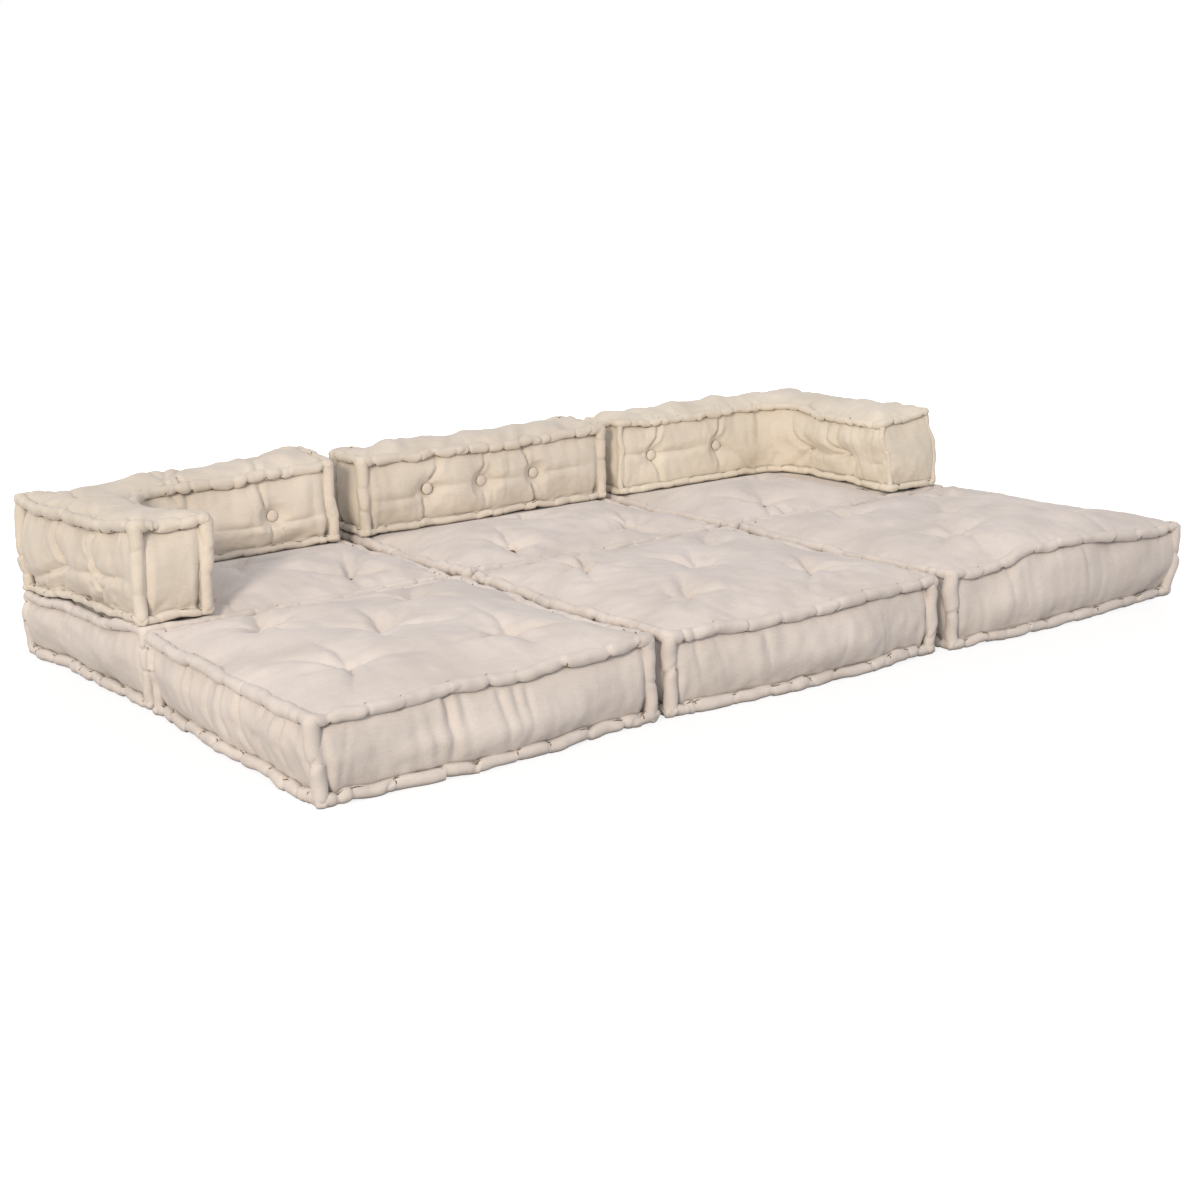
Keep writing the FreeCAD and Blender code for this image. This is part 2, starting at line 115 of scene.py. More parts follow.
def makeCamera():
    yaw, pitch, roll = (math.radians(camera[k]) for k in ("yaw", "pitch", "roll"))
    ahead = Vector((math.sin(yaw) * math.cos(pitch), math.cos(yaw) * math.cos(pitch), -math.sin(pitch)))
    across = Vector((math.cos(yaw), -math.sin(yaw), 0))
    above = across.cross(ahead)
    right = across * math.cos(roll) + above * math.sin(roll)
    up = above * math.cos(roll) - across * math.sin(roll)
    data = bpy.data.cameras.new("camera")
    data.lens, data.sensor_width, data.clip_end = camera["lens"], 36, 50
    eye = bpy.data.objects.new("camera", data)
    turn = Matrix((right, up, -ahead)).transposed().to_4x4()
    eye.matrix_world = Matrix.Translation(camera["place"]) @ turn
    bpy.context.collection.objects.link(eye)
    bpy.context.scene.camera = eye


def seenByEye(tree):
    # 1 where the eye, a reflection or a see-through ray meets the surface
    path = addNode(tree, "LightPath")
    seen = path.outputs["Is Camera Ray"]
    for ray in ("Is Glossy Ray", "Is Transmission Ray"):
        seen = addNode(tree, "Math", {}, {0: seen, 1: path.outputs[ray]}, operation="MAXIMUM").outputs[0]
    return seen


light = {
    "sky": {"strength": 0.68, "colour": "#FDFBFF"},  # all-round soft light
    "key": {"place": (-9.6, -7.2, 4.9), "size": 2.2, "watts": 860, "colour": "#FFF1DE"},
    "fill": {"place": (-2.0, -4.6, 1.4), "size": 1.6, "watts": 5, "colour": "#F2F4FF"},
}


def makeLight():
    world = bpy.data.worlds.new("studio")
    world.use_nodes = True
    tree = world.node_tree
    tree.nodes.clear()
    sky = light["sky"]
    soft = addNode(tree, "Background", {"Color": linear(sky["colour"]), "Strength": sky["strength"]})
    white = addNode(tree, "Background", {"Color": linear("#FFFFFF"), "Strength": 1})
    mixed = addNode(tree, "MixShader", {}, {0: seenByEye(tree), 1: soft.outputs[0], 2: white.outputs[0]})
    addNode(tree, "OutputWorld", {}, {"Surface": mixed.outputs[0]})
    bpy.context.scene.world = world
    for name in ("key", "fill"):
        look = light[name]
        data = bpy.data.lights.new(name, "AREA")
        data.energy, data.size, data.color = look["watts"], look["size"], linear(look["colour"])[:3]
        lamp = bpy.data.objects.new(name, data)
        lamp.location = look["place"]
        lamp.rotation_euler = (-Vector(look["place"])).to_track_quat("-Z", "Y").to_euler()
        bpy.context.collection.objects.link(lamp)


# the eye's share of plain white grows over this reach from the middle
floor = {"half": 9.0, "colour": "#A8A8A8", "white": 1.84, "nearShare": 0.45, "reach": (1.2, 3.2)}


def makeFloor():
    # painted studio floor: matt, keeps the soft shadow and goes over into the white backdrop
    paint, tree = freshMaterial("matt_floor_paint")
    spot = addNode(tree, "NewGeometry").outputs["Position"]
    away = vectorStep(tree, "LENGTH", {0: spot}, {}, "Value")
    share = ranged(tree, away, floor["reach"], (floor["nearShare"], 1))
    amount = addNode(tree, "Math", {}, {0: seenByEye(tree), 1: share}, operation="MULTIPLY")
    matt = addNode(tree, "BsdfDiffuse", {"Color": linear(floor["colour"])})
    white = addNode(tree, "Emission", {"Color": linear("#FFFFFF"), "Strength": floor["white"]})
    mixed = addNode(tree, "MixShader", {}, {0: amount.outputs[0], 1: matt.outputs[0], 2: white.outputs[0]})
    addNode(tree, "OutputMaterial", {}, {"Surface": mixed.outputs[0]})
    h = floor["half"]
    mesh = bpy.data.meshes.new("floor")
    mesh.from_pydata([(-h, -h, 0), (h, -h, 0), (h, h, 0), (-h, h, 0)], [], [(0, 1, 2, 3)])
    mesh.materials.append(paint)
    plane = bpy.data.objects.new("floor", mesh)
    bpy.context.collection.objects.link(plane)
    plane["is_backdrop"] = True


# Cloth and thread

canvas = {
    # painted light: seats and backs are one canvas, tinted pinkish-grey on the seats and warmer on the backs
    # for the colour of the light that falls on them
    "seat": {"pale": "#E4DCD5", "dark": "#D4CCC5"},
    "back": {"pale": "#E4DBCE", "dark": "#D5CCBE"},
    # painted light: the right back's canvas is painted paler, for the brighter light that falls on its faces
    "paleBack": {"pale": "#EAE2D3", "dark": "#DDD4C4"},
    "tones": (0.48, 0.86), "slubShare": 0.35,  # where the dark and the pale tone lie, and what slubs add
    "fleck": "#A58E6C", "fleckSize": (0.015, 0.03), "fleckShare": 0.5,
    "fleckSpacing": 60,  # mm between husk flecks
    "mottle": 140,  # mm, uneven dye and handling
    "slub": (22, 3),  # mm, length and width of the thick places in a spun thread
    "weave": 3.2,  # mm between threads: the real 0.8 mm is too fine to show, so it is drawn coarser
    "crinkle": 26,  # mm, soft creases of packed cloth
    "weaveBump": (0.12, 0.0006), "crinkleBump": (0.35, 0.004),  # strength, and height in metres
    "nook": 0.026, "nookOpen": (0.05, 0.42), "nookValue": 0.36,  # painted shade: the cloth is darkened where it is closed in, in seams, slits, creases and between cushions
    "surface": {"Roughness": 0.92, "Sheen Weight": 0.12, "Sheen Roughness": 0.5, "Specular IOR Level": 0.25},
}


def makeCanvas(name, look):
    # unbleached cotton canvas, plain woven: matt and faintly downy, with slubs and husk flecks
    cloth, tree = freshMaterial(name)
    coords = addNode(tree, "TexCoord")
    place = {"Vector": coords.outputs["Object"]}
    mottle = addNode(tree, "TexNoise", {"Scale": 1000 / canvas["mottle"], "Detail": 4}, place)
    long, thin = (1000 / s for s in canvas["slub"])
    drawn = addNode(tree, "Mapping", {"Scale": (long, thin, thin)}, place)
    slub = addNode(tree, "TexNoise", {"Scale": 1, "Detail": 2}, {"Vector": drawn.outputs[0]})
    both = {0: slub.outputs[0], 2: mottle.outputs[0]}
    shade = addNode(tree, "Math", {1: canvas["slubShare"]}, both, operation="MULTIPLY_ADD")
    ramp = addNode(tree, "ValToRGB", {}, {"Fac": shade.outputs[0]})
    for stop, at, tone in zip(ramp.color_ramp.elements, canvas["tones"], ("dark", "pale")):
        stop.position, stop.color = at, linear(look[tone])
    husk = addNode(tree, "TexVoronoi", {"Scale": 1000 / canvas["fleckSpacing"]}, place)
    fleck = ranged(tree, husk.outputs["Distance"], canvas["fleckSize"], (canvas["fleckShare"], 0))
    stained = {0: fleck, 6: ramp.outputs[0]}
    colour = addNode(tree, "Mix", {7: linear(canvas["fleck"])}, stained, data_type="RGBA")
    # painted shade: ambient occlusion darkens the cloth's colour in seams, slits and creases, where shade
    # falls
    nook = addNode(tree, "AmbientOcclusion", {"Distance": canvas["nook"]}, samples=4)
    shaded = ranged(tree, nook.outputs["AO"], canvas["nookOpen"], (canvas["nookValue"], 1))
    colour = addNode(tree, "HueSaturation", {}, {"Value": shaded, "Color": colour.outputs[2]})
    threads = vectorStep(tree, "SCALE", {0: place["Vector"]}, {"Scale": 2000 * math.pi / canvas["weave"]})
    threads = vectorStep(tree, "SINE", {0: threads})
    facing = vectorStep(tree, "ABSOLUTE", {0: coords.outputs["Normal"]})
    facing = vectorStep(tree, "SUBTRACT", {1: facing}, {0: (1, 1, 1)})
    weave = vectorStep(tree, "DOT_PRODUCT", {0: threads, 1: facing}, {}, "Value")
    weave = bumped(tree, weave, *canvas["weaveBump"])
    folded = {"Scale": 1000 / canvas["crinkle"], "Detail": 3, "Distortion": 0.6}
    soft = addNode(tree, "TexNoise", folded, place)
    crinkle = bumped(tree, soft.outputs[0], *canvas["crinkleBump"], {"Normal": weave})
    linked = {"Base Color": colour.outputs[0], "Normal": crinkle}
    down = addNode(tree, "BsdfPrincipled", canvas["surface"], linked)
    addNode(tree, "OutputMaterial", {}, {"Surface": down.outputs[0]})
    return cloth


# ply in mm, and the wave node's scale that makes bands one unit wide
# the twine's dark tones are partly painted shade: dark enough to read as the shadowed gaps where the stitches
# draw the seams in
twine = {
    "pale": "#837050", "dark": "#4E3F2B", "ply": 1.6, "band": 6.3,
    "roughness": 0.85, "bump": (0.5, 0.0004),
}


def makeTwine():
    # waxed flax twine, plied: duller and browner than the cloth, with a diagonal ply line, and made darker
    # still as painted shade, so that the stitches stand in for the shadowed gaps in the seams
    thread, tree = freshMaterial("waxed_flax_twine")
    place = {"Vector": addNode(tree, "TexCoord").outputs["Object"]}
    laid = {"Scale": 1000 / twine["ply"] / twine["band"], "Distortion": 1.2}
    ply = addNode(tree, "TexWave", laid, place, bands_direction="DIAGONAL").outputs["Fac"]
    ramp = addNode(tree, "ValToRGB", {}, {"Fac": ply})
    for stop, tone in zip(ramp.color_ramp.elements, ("dark", "pale")):
        stop.color = linear(twine[tone])
    linked = {"Base Color": ramp.outputs[0], "Normal": bumped(tree, ply, *twine["bump"])}
    body = addNode(tree, "BsdfPrincipled", {"Roughness": twine["roughness"]}, linked)
    addNode(tree, "OutputMaterial", {}, {"Surface": body.outputs[0]})
    return thread


# Sewn outlines, the same as the pieces' own

anyTurn = (0, 6.28)  # span that a seeded phase or direction is drawn from
oneTurn = 6.28318  # radians in one wave of a seam's sway

seam = {
    "bow": 0.008, "bowInside": 0.004,  # a long edge bows out, less beside a neighbour
    "backBow": 0.005, "angleBow": 0.003, "sag": 0.007,  # and hangs down between its corners
    "corner": 0.018, "innerCorner": 0.09, "wholeSide": 0.705, "arcSteps": 24,
    "sway": 0.0024, "swayWaves": (3, 5, 8, 13),  # how far a hand-sewn edge wanders, and how often
}


# stitched roll, its middle in from the outer line, where the top and the side cloth come out of it,
# how far the side bulges, and the upright rolls
edges = {
    "full": {
        "radius": 0.0118, "inset": 0.0115, "rimInset": 0.0185, "rimDrop": 0.0055,
        "sideInset": 0.0195, "sideDrop": 0.0175, "bulge": 0.0150, "upright": 0.0134, "crease": 0.007,
    },
    "middling": {
        "radius": 0.0108, "inset": 0.0105, "rimInset": 0.0165, "rimDrop": 0.0045,
        "sideInset": 0.0180, "sideDrop": 0.0165, "bulge": 0.0140, "upright": 0.0134, "crease": 0.006,
    },
    "slight": {
        "radius": 0.0086, "inset": 0.0082, "rimInset": 0.0125, "rimDrop": 0.0030,
        "sideInset": 0.0140, "sideDrop": 0.0125, "bulge": 0.0110, "upright": 0.0072, "crease": 0.003,
    },
}
edgeOf = {"centre_back": "middling", "right_back": "slight", "front_right": "middling"}


def rectangleCorners(lo, hi):
    r = seam["corner"]
    return [(lo.x, lo.y, r), (hi.x, lo.y, r), (hi.x, hi.y, r), (lo.x, hi.y, r)]


def angleCorners(lo, hi, arm, limb, side):
    r, inner = seam["corner"], seam["innerCorner"]
    y = hi.y - limb
    if side < 0:
        x = lo.x + arm
        return [(lo.x, lo.y, r), (x, lo.y, r), (x, y, inner), (hi.x, y, r), (hi.x, hi.y, r), (lo.x, hi.y, r)]
    x = hi.x - arm
    return [(x, lo.y, r), (hi.x, lo.y, r), (hi.x, hi.y, r), (lo.x, hi.y, r), (lo.x, y, r), (x, y, inner)]


def turnOf(corners, i):
    # unit directions into and out of a corner, and +1 where it turns left
    here = np.array(corners[i][:2])
    comes, goes = here - corners[i - 1][:2], np.array(corners[(i + 1) % len(corners)][:2]) - here
    comes, goes = comes / np.linalg.norm(comes), goes / np.linalg.norm(goes)
    return comes, goes, math.copysign(1, comes[0] * goes[1] - comes[1] * goes[0])


def insetCorners(corners, distance):
    moved = []
    for i, (x, y, reach) in enumerate(corners):
        comes, goes, left = turnOf(corners, i)
        both = comes + goes
        moved.append((x - both[1] * distance, y + both[0] * distance, max(0.003, reach - left * distance)))
    return moved


def arc(start, end, leave, arrive):
    turn = math.atan2(leave[0] * arrive[1] - leave[1] * arrive[0], float(np.dot(leave, arrive)))
    t = np.linspace(0, 1, seam["arcSteps"] + 1)[:, None]
    if abs(turn) < 1e-6:
        return start + (end - start) * t
    radius = np.linalg.norm(end - start) / 2 / math.sin(turn / 2)
    aside = np.array((-leave[1], leave[0]))
    return start + radius * (np.sin(turn * t) * leave + (1 - np.cos(turn * t)) * aside)


def sideLengths(corners):
    return [math.dist(a[:2], b[:2]) for a, b in zip(corners, corners[1:] + corners[:1])]


def outlineRing(corners, counts, bows):
    # evenly spaced points, corner crest to corner crest, along the rounded outline
    n = len(corners)
    sides = []
    for i, length in enumerate(sideLengths(corners)):
        a, b = np.array(corners[i][:2]), np.array(corners[(i + 1) % n][:2])
        reachA, reachB = corners[i][2], corners[(i + 1) % n][2]
        along = (b - a) / length
        inward = np.array((-along[1], along[0]))
        span = (reachA + reachB) / 2 + (length - reachA - reachB) / 4
        lean = -bows[i] * min(1, length / seam["wholeSide"]) / span
        leave = along * math.cos(lean) + inward * math.sin(lean)
        arrive = along * math.cos(lean) - inward * math.sin(lean)
        sides.append((a + leave * reachA, b - arrive * reachB, leave, arrive))
    ring, crest = [], seam["arcSteps"] // 2
    for i in range(n):
        before, here, after = sides[i - 1], sides[i], sides[(i + 1) % n]
        run = np.vstack([
            arc(before[1], here[0], before[3], here[2])[crest:-1],
            arc(here[0], here[1], here[2], here[3])[:-1],
            arc(here[1], after[0], here[3], after[2])[:crest + 1],
        ])
        along = np.concatenate([[0], np.cumsum(np.linalg.norm(np.diff(run, axis=0), axis=1))])
        at = np.linspace(0, along[-1], counts[i] + 1)[:-1]
        ring.append(np.column_stack([np.interp(at, along, run[:, k]) for k in (0, 1)]))
    return np.vstack(ring)


def outwardOf(ring):
    # unit directions out of a ring that runs counterclockwise
    along = np.roll(ring, -1, axis=0) - np.roll(ring, 1, axis=0)
    return np.column_stack([along[:, 1], -along[:, 0]]) / np.linalg.norm(along, axis=1)[:, None]


def sagAlong(corners, counts):
    # how far the upper edge hangs down at each point of an outline ring
    dips = []
    for count, length in zip(counts, sideLengths(corners)):
        t = np.arange(count) / count
        dips.append(seam["sag"] * min(1, length / seam["wholeSide"]) * 4 * t * (1 - t))
    return np.concatenate(dips)


def within(corners, x, y):
    inside = False
    for (ax, ay, _), (bx, by, _) in zip(corners, corners[1:] + corners[:1]):
        if abs(ax - bx) < 1e-6 and ax > x and min(ay, by) < y < max(ay, by):
            inside = not inside
    return inside


def lattice(corners, cell):
    # grid of cells over the plan, with the loop of points round its edge
    marks = [sorted({round(c[k], 5) for c in corners}) for k in (0, 1)]
    lines = []
    for values in marks:
        line = [values[0]]
        for a, b in zip(values, values[1:]):
            steps = max(2, round((b - a) / cell))
            line += [a + (b - a) * (k + 1) / steps for k in range(steps)]
        lines.append(np.array(line))
    xs, ys = lines
    number, faces = {}, []
    for j in range(len(ys) - 1):
        for i in range(len(xs) - 1):
            if within(corners, (xs[i] + xs[i + 1]) / 2, (ys[j] + ys[j + 1]) / 2):
                quad = [(i, j), (i + 1, j), (i + 1, j + 1), (i, j + 1)]
                faces.append([number.setdefault(q, len(number)) for q in quad])
    loop, counts = [], []
    for (ax, ay, _), (bx, by, _) in zip(corners, corners[1:] + corners[:1]):
        i, j = int(np.argmin(abs(xs - ax))), int(np.argmin(abs(ys - ay)))
        di, dj = int(np.argmin(abs(xs - bx))) - i, int(np.argmin(abs(ys - by))) - j
        steps = abs(di) + abs(dj)
        loop += [number[(i + di // steps * t, j + dj // steps * t)] for t in range(steps)]
        counts.append(steps)
    spots = np.array([(xs[i], ys[j]) for i, j in number])
    onEdge = set(loop)
    inner = {spot: k for spot, k in number.items() if k not in onEdge}
    near = [[number[(i + a, j + b)] for a, b in ((1, 0), (-1, 0), (0, 1), (0, -1))] for i, j in inner]
    return {
        "marks": marks, "spots": spots, "faces": faces, "loop": loop, "counts": counts,
        "inner": list(inner.values()), "near": near,
    }


def filledRing(grid, corners, ring):
    # the grid inside a ring, its inner points relaxed
    own = [sorted({round(c[k], 5) for c in corners}) for k in (0, 1)]
    flat = np.column_stack([np.interp(grid["spots"][:, k], grid["marks"][k], own[k]) for k in (0, 1)])
    flat[grid["loop"]] = ring
    for _ in range(cushionLook["relaxed"]):
        flat[grid["inner"]] = flat[grid["near"]].mean(axis=1)
    return flat


def nearestOn(points, ring):
    # distance to the ring, and where on it as a share of its length
    tree = KDTree(len(ring))
    for i, p in enumerate(ring):
        tree.insert((p[0], p[1], 0), i)
    tree.balance()
    found = [tree.find((p[0], p[1], 0)) for p in points]
    return np.array([f[2] for f in found]), np.array([f[1] for f in found]) / len(ring)


def lumps(points, wave, seed, count=9):
    # smooth seeded unevenness, about -1 to 1
    pick = np.random.default_rng(seed)
    total = np.zeros(len(points))
    for _ in range(count):
        way = pick.normal(size=3)
        way *= 2 * math.pi / wave / np.linalg.norm(way) * pick.uniform(0.7, 1.4)
        total += np.sin(points @ way + pick.uniform(*anyTurn))
    return total / math.sqrt(count)


def swayAlong(share, seed):
    # slow wander of a sewn edge round the cushion, sideways and up
    pick = np.random.default_rng(seed)
    parts = [(oneTurn * k, pick.uniform(*anyTurn), pick.uniform(*anyTurn)) for k in seam["swayWaves"]]
    side = sum(np.sin(k * share + a) for k, a, _ in parts) / 2
    rise = sum(np.sin(k * share + b) for k, _, b in parts) / 2
    return side * seam["sway"], rise * seam["sway"]


def outOfBox(x, y, box):
    x0, y0, x1, y1 = box
    return np.hypot(np.maximum(np.maximum(x0 - x, x - x1), 0), np.maximum(np.maximum(y0 - y, y - y1), 0))


def bandFaces(rings, around, start=0, closed=False, inward=False, capped=False):
    # quads between rings of points that follow each other, and a face over each end
    faces = []
    for i in range(rings if closed else rings - 1):
        here, after = start + i * around, start + (i + 1) % rings * around
        for k in range(around):
            m = (k + 1) % around
            quad = [here + k, here + m, after + m, after + k]
            faces.append(quad[:1] + quad[:0:-1] if inward else quad)
    if capped:
        first, last = ([i * around + k for k in range(around)] for i in (0, rings - 1))
        faces += [first, last[::-1]] if inward else [first[::-1], last]
    return faces


# Cushions

cushionLook = {
    "seatCell": 0.0086, "backCell": 0.0062, "relaxed": 160,  # sewn grid before its one subdivision
    "crownPower": 2.7, "crownShare": 0.64, "sidePower": 3.0, "bulgeBow": 0.5,
    "slack": (1.055, 1.055, 1.02), "uneven": 0.0006, "unevenWave": 0.03, "cap": 0.024,
    "simFrames": 18, "pressure": 4.5, "quality": 5, "mass": 0.3, "stretch": 18, "bend": 0.08,
}


def cushionForm(c):
    # closed mesh of one cushion: crowned top, slanted strips, bulging sides, flat foot
    corners, bows, edge, height, seed = (c[k] for k in ("corners", "bows", "edge", "height", "seed"))
    grid = lattice(corners, c["cell"])
    counts, loop = grid["counts"], grid["loop"]
    rimLevel, sideTop, low = height - edge["rimDrop"], height - edge["sideDrop"], edge["sideDrop"]
    rim, side = (insetCorners(corners, edge[k]) for k in ("rimInset", "sideInset"))
    middle = outlineRing(insetCorners(corners, edge["inset"]), counts, bows)
    drawn = outlineRing(side, counts, bows)
    fuller = [bow + edge["bulge"] * cushionLook["bulgeBow"] for bow in bows]
    full = outlineRing(insetCorners(corners, edge["sideInset"] - edge["bulge"]), counts, fuller)
    rimRing = outlineRing(rim, counts, bows)
    rows = max(8, round((sideTop - low) / c["cell"]))
    levels = [(rimRing, rimLevel, 0), (middle, height - edge["radius"], 1)]
    for k in range(rows + 1):
        v = k / rows
        out, sort = 1 - abs(2 * v - 1) ** cushionLook["sidePower"], 1 if k in (0, rows) else 2
        levels.append((drawn + (full - drawn) * out, sideTop + (low - sideTop) * v, sort))
    levels += [(middle, edge["radius"], 1), (rimRing, 0, 0)]
    share, sag, outward = np.arange(len(loop)) / len(loop), sagAlong(corners, counts), outwardOf(drawn)
    rings, sways = [], (swayAlong(share, seed), swayAlong(share, seed + 1))
    for ring, level, _ in levels:
        v = level / height
        sideways, rise = (a * v + b * (1 - v) for a, b in zip(*sways))
        rings.append(np.column_stack([ring + outward * sideways[:, None], level + (rise - sag) * v]))
    top = filledRing(grid, rim, rings[0][:, :2])
    away, place = nearestOn(top, rings[0][:, :2])
    t = np.clip(away / (min(sideLengths(rim)) / 2) / cushionLook["crownShare"], 0, 1)
    lift = (rings[0][:, 2] - rimLevel)[(place * len(loop)).round().astype(int) % len(loop)]
    topZ = rimLevel + lift * (1 - t) ** 2 + c["crown"] * (1 - (1 - t) ** cushionLook["crownPower"])
    top = np.column_stack([top, topZ])
    top[loop] = rings[0]
    bottom = np.column_stack([filledRing(grid, rim, rings[-1][:, :2]), np.zeros(len(top))])
    points = np.vstack([top] + rings[1:-1] + [bottom])
    count, around = len(top), len(loop)
    sides = [np.full(around, k) for _, _, k in levels[1:-1]]
    kind = np.concatenate([np.zeros(count)] + sides + [np.full(count, 3)])
    under = len(points) - count
    kind[loop] = 1
    kind[under + np.array(loop)] = 1
    numbers = [loop] + [list(range(count + k * around, count + (k + 1) * around)) for k in range(len(sides))]
    numbers.append([under + k for k in loop])
    faces = list(grid["faces"]) + [[under + k for k in reversed(f)] for f in grid["faces"]]
    for upper, lower in zip(numbers, numbers[1:]):
        for k in range(around):
            m = (k + 1) % around
            faces.append([lower[k], lower[m], upper[m], upper[k]])
    points[:, 2] += c["base"]
    return points, faces, kind


# a tuft: how deep it still reaches past its face, its star of valleys, the sewn-down floor,
# and the sharp folds that run out from it
tuftLook = {
    "within": 0.06, "starReach": 0.45, "starWidth": 0.3, "power": 1.7, "sewn": 0.004, "spread": (0.7, 1.3),
    "bend": 0.25, "start": 0.004, "strength": (0.5, 1.2), "width": (0.0045, 0.0075), "near": 0.045,
}


def starAngles(tuft, seed):
    # directions in which the folds run out from a tuft, in its own plane
    if "angles" in tuft:
        return tuft["angles"]
    pick = np.random.default_rng(seed)
    angles = [tuft["lead"]] if "lead" in tuft else [pick.uniform(*anyTurn)]
    while len(angles) < tuft["folds"]:
        angles.append(angles[-1] + 2 * math.pi / tuft["folds"] * pick.uniform(*tuftLook["spread"]))
    return angles


def tuftFrame(tuft):
    axis = np.array(tuft["axis"], dtype=float)
    side = np.array((1.0, 0, 0)) if abs(axis[2]) > 0.5 else np.cross((0, 0, 1.0), axis)
    return np.array(tuft["spot"]), axis, side, np.cross(axis, side)


def sinkTufts(points, kind, tufts, seed):
    # draws each tuft in as a funnel with a star of valleys; also the sewn-down middles
    held, sunk = np.zeros(len(points)), points.copy()
    for number, tuft in enumerate(tufts):
        spot, axis, side, other = tuftFrame(tuft)
        gap = points - spot
        depthAlong = gap @ axis
        r = np.linalg.norm(gap - depthAlong[:, None] * axis, axis=1)
        onFace = (abs(depthAlong) < tuftLook["within"]) & (kind != 1)
        turn = np.arctan2(gap @ other, gap @ side)
        reach = np.full(len(points), tuft["reach"])
        for angle in starAngles(tuft, seed + number):
            off = abs((turn - angle + math.pi) % (2 * math.pi) - math.pi)
            reach += tuft["reach"] * tuftLook["starReach"] * np.exp(-off / tuftLook["starWidth"])
        s = np.clip((r - tuft["floor"]) / (reach - tuft["floor"]), 0, 1)
        sunk -= (tuft["depth"] * (1 - s) ** tuftLook["power"] * onFace)[:, None] * axis
        held[onFace & (r < tuft["floor"] + tuftLook["sewn"])] = 1
    return sunk, held


# a pressed fold: widening along its run, a soft trough round it with lips beside, and fading out
creaseLook = {
    "facing": 0.25, "margin": 7, "widens": (0.75, 0.5), "fades": (0.75, 1.6), "sharp": 1.2,
    "trough": (0.45, 2.4), "lip": (0.22, 4.2, 1.8),
    "besideRoll": 0.0135, "fromSeam": 0.014, "besideWidth": 0.0040,
}


def creased(points, normals, creases):
    # presses sharp folds with soft lips into one face each, deepest where their run starts
    moved = points.copy()
    for axis, run, depth, width in creases:
        axis = np.array(axis, dtype=float)
        flat = 1 - abs(axis)
        path, p = np.array(run, dtype=float) * flat, points * flat
        margin = creaseLook["margin"] * width
        near = np.all((p > path.min(axis=0) - margin) & (p < path.max(axis=0) + margin) | (flat == 0), axis=1)
        near &= normals @ axis > creaseLook["facing"]
        if not near.any():
            continue
        p = p[near]
        lengths = np.linalg.norm(np.diff(path, axis=0), axis=1)
        d, t, start = np.full(len(p), 9.0), np.zeros(len(p)), 0
        for a, b, long in zip(path, path[1:], lengths):
            u = np.clip((p - a) @ (b - a) / long ** 2, 0, 1)
            off = np.linalg.norm(p - a - u[:, None] * (b - a), axis=1)
            nearer = off < d
            d[nearer], t[nearer] = off[nearer], (start + u[nearer] * long) / lengths.sum()
            start += long
        narrow, widening = creaseLook["widens"]
        w = width * (narrow + widening * t)
        (deep, wide), (high, out, broad) = creaseLook["trough"], creaseLook["lip"]
        trough = deep * np.exp(-(d / (wide * w)) ** 2) - high * np.exp(-((d - out * w) / (broad * w)) ** 2)
        share, power = creaseLook["fades"]
        sink = depth * (1 - share * t ** power) * (np.exp(-(d / w) ** creaseLook["sharp"]) + trough)
        moved[near] -= sink[:, None] * axis
    return moved


def starCreases(tuft, seed, number):
    # the sharp bottoms of the valleys that run out from a tuft
    pick = np.random.default_rng(seed + number + 50)
    spot, axis, side, other = tuftFrame(tuft)
    creases = []
    for angle in starAngles(tuft, seed + number):
        long, bend = pick.uniform(*tuft["long"]), pick.normal() * tuftLook["bend"]
        ways = [side * math.cos(angle + k * bend) + other * math.sin(angle + k * bend) for k in (0, 0.5, 1)]
        run = [spot + ways[0] * tuftLook["start"], spot + ways[1] * long * 0.5, spot + ways[2] * long]
        strength, width = pick.uniform(*tuftLook["strength"]), pick.uniform(*tuftLook["width"])
        creases.append((axis, run, tuft["crease"] * strength, width))
    return creases


def anglesOf(tuft, creases):
    # directions of the drawn creases that start beside a tuft
    spot, axis, side, other = tuftFrame(tuft)
    angles = []
    for way, run, _, _ in creases:
        away = np.linalg.norm((run[0] - spot) * (1 - abs(axis)))
        if tuple(way) == tuple(tuft["axis"]) and away < tuftLook["near"]:
            angles.append(math.atan2((run[1] - run[0]) @ other, (run[1] - run[0]) @ side))
    return angles


faceAxes = {"front": (0, -1, 0), "left": (-1, 0, 0), "top": (0, 0, 1)}
foldUnits = {"depth": 800, "width": 2000}  # of a fold in the table of folds, to the metre


def foldsOf(name):
    # the folds that one cushion shows, as creases in metres
    spots = {"front": lambda a, b: (a, 0, b), "left": lambda a, b: (0, a, b), "top": lambda a, b: (a, b, 0)}
    creases = []
    for face, runs in folds.get(name, {}).items():
        for depth, width, *run in runs:
            path = [np.array(spots[face](a, b)) / 1000 for a, b in run]
            creases.append((faceAxes[face], path, depth / foldUnits["depth"], width / foldUnits["width"]))
    return creases


# corners, counted from the front left, whose upright roll lies flat in the cloth on one or both sides
flatCorners = {
    "left_back": {0: ("before",)}, "front_right": {1: ("before", "after")},
    "right_back": {0: ("before", "after"), 1: ("before",)},
}


def cornerCreases(c):
    # the side cloth is drawn in on both sides of an upright roll
    creases = []
    for i, (x, y, _) in enumerate(c["corners"]):
        comes, goes, left = turnOf(c["corners"], i)
        if left < 0:
            continue
        for side, along, way in (("before", comes, -1), ("after", goes, 1)):
            if side in flatCorners.get(c["name"], {}).get(i, ()):
                continue
            spot = np.array((x, y)) + along * way * (creaseLook["besideRoll"] + c["edge"]["upright"])
            z = creaseLook["fromSeam"]
            run = [(*spot, c["base"] + level) for level in (z, c["height"] / 2, c["height"] - z)]
            creases.append(((along[1], -along[0], 0), run, c["edge"]["crease"], creaseLook["besideWidth"]))
    return creases


# how far a lean carries, flatter than wide; a spot this near a corner is that corner; a longer side
# than this is held at its middle as well
leanLook = {"reach": 0.14, "flatten": (1, 1, 2.6), "atCorner": 0.06, "longSide": 0.3}


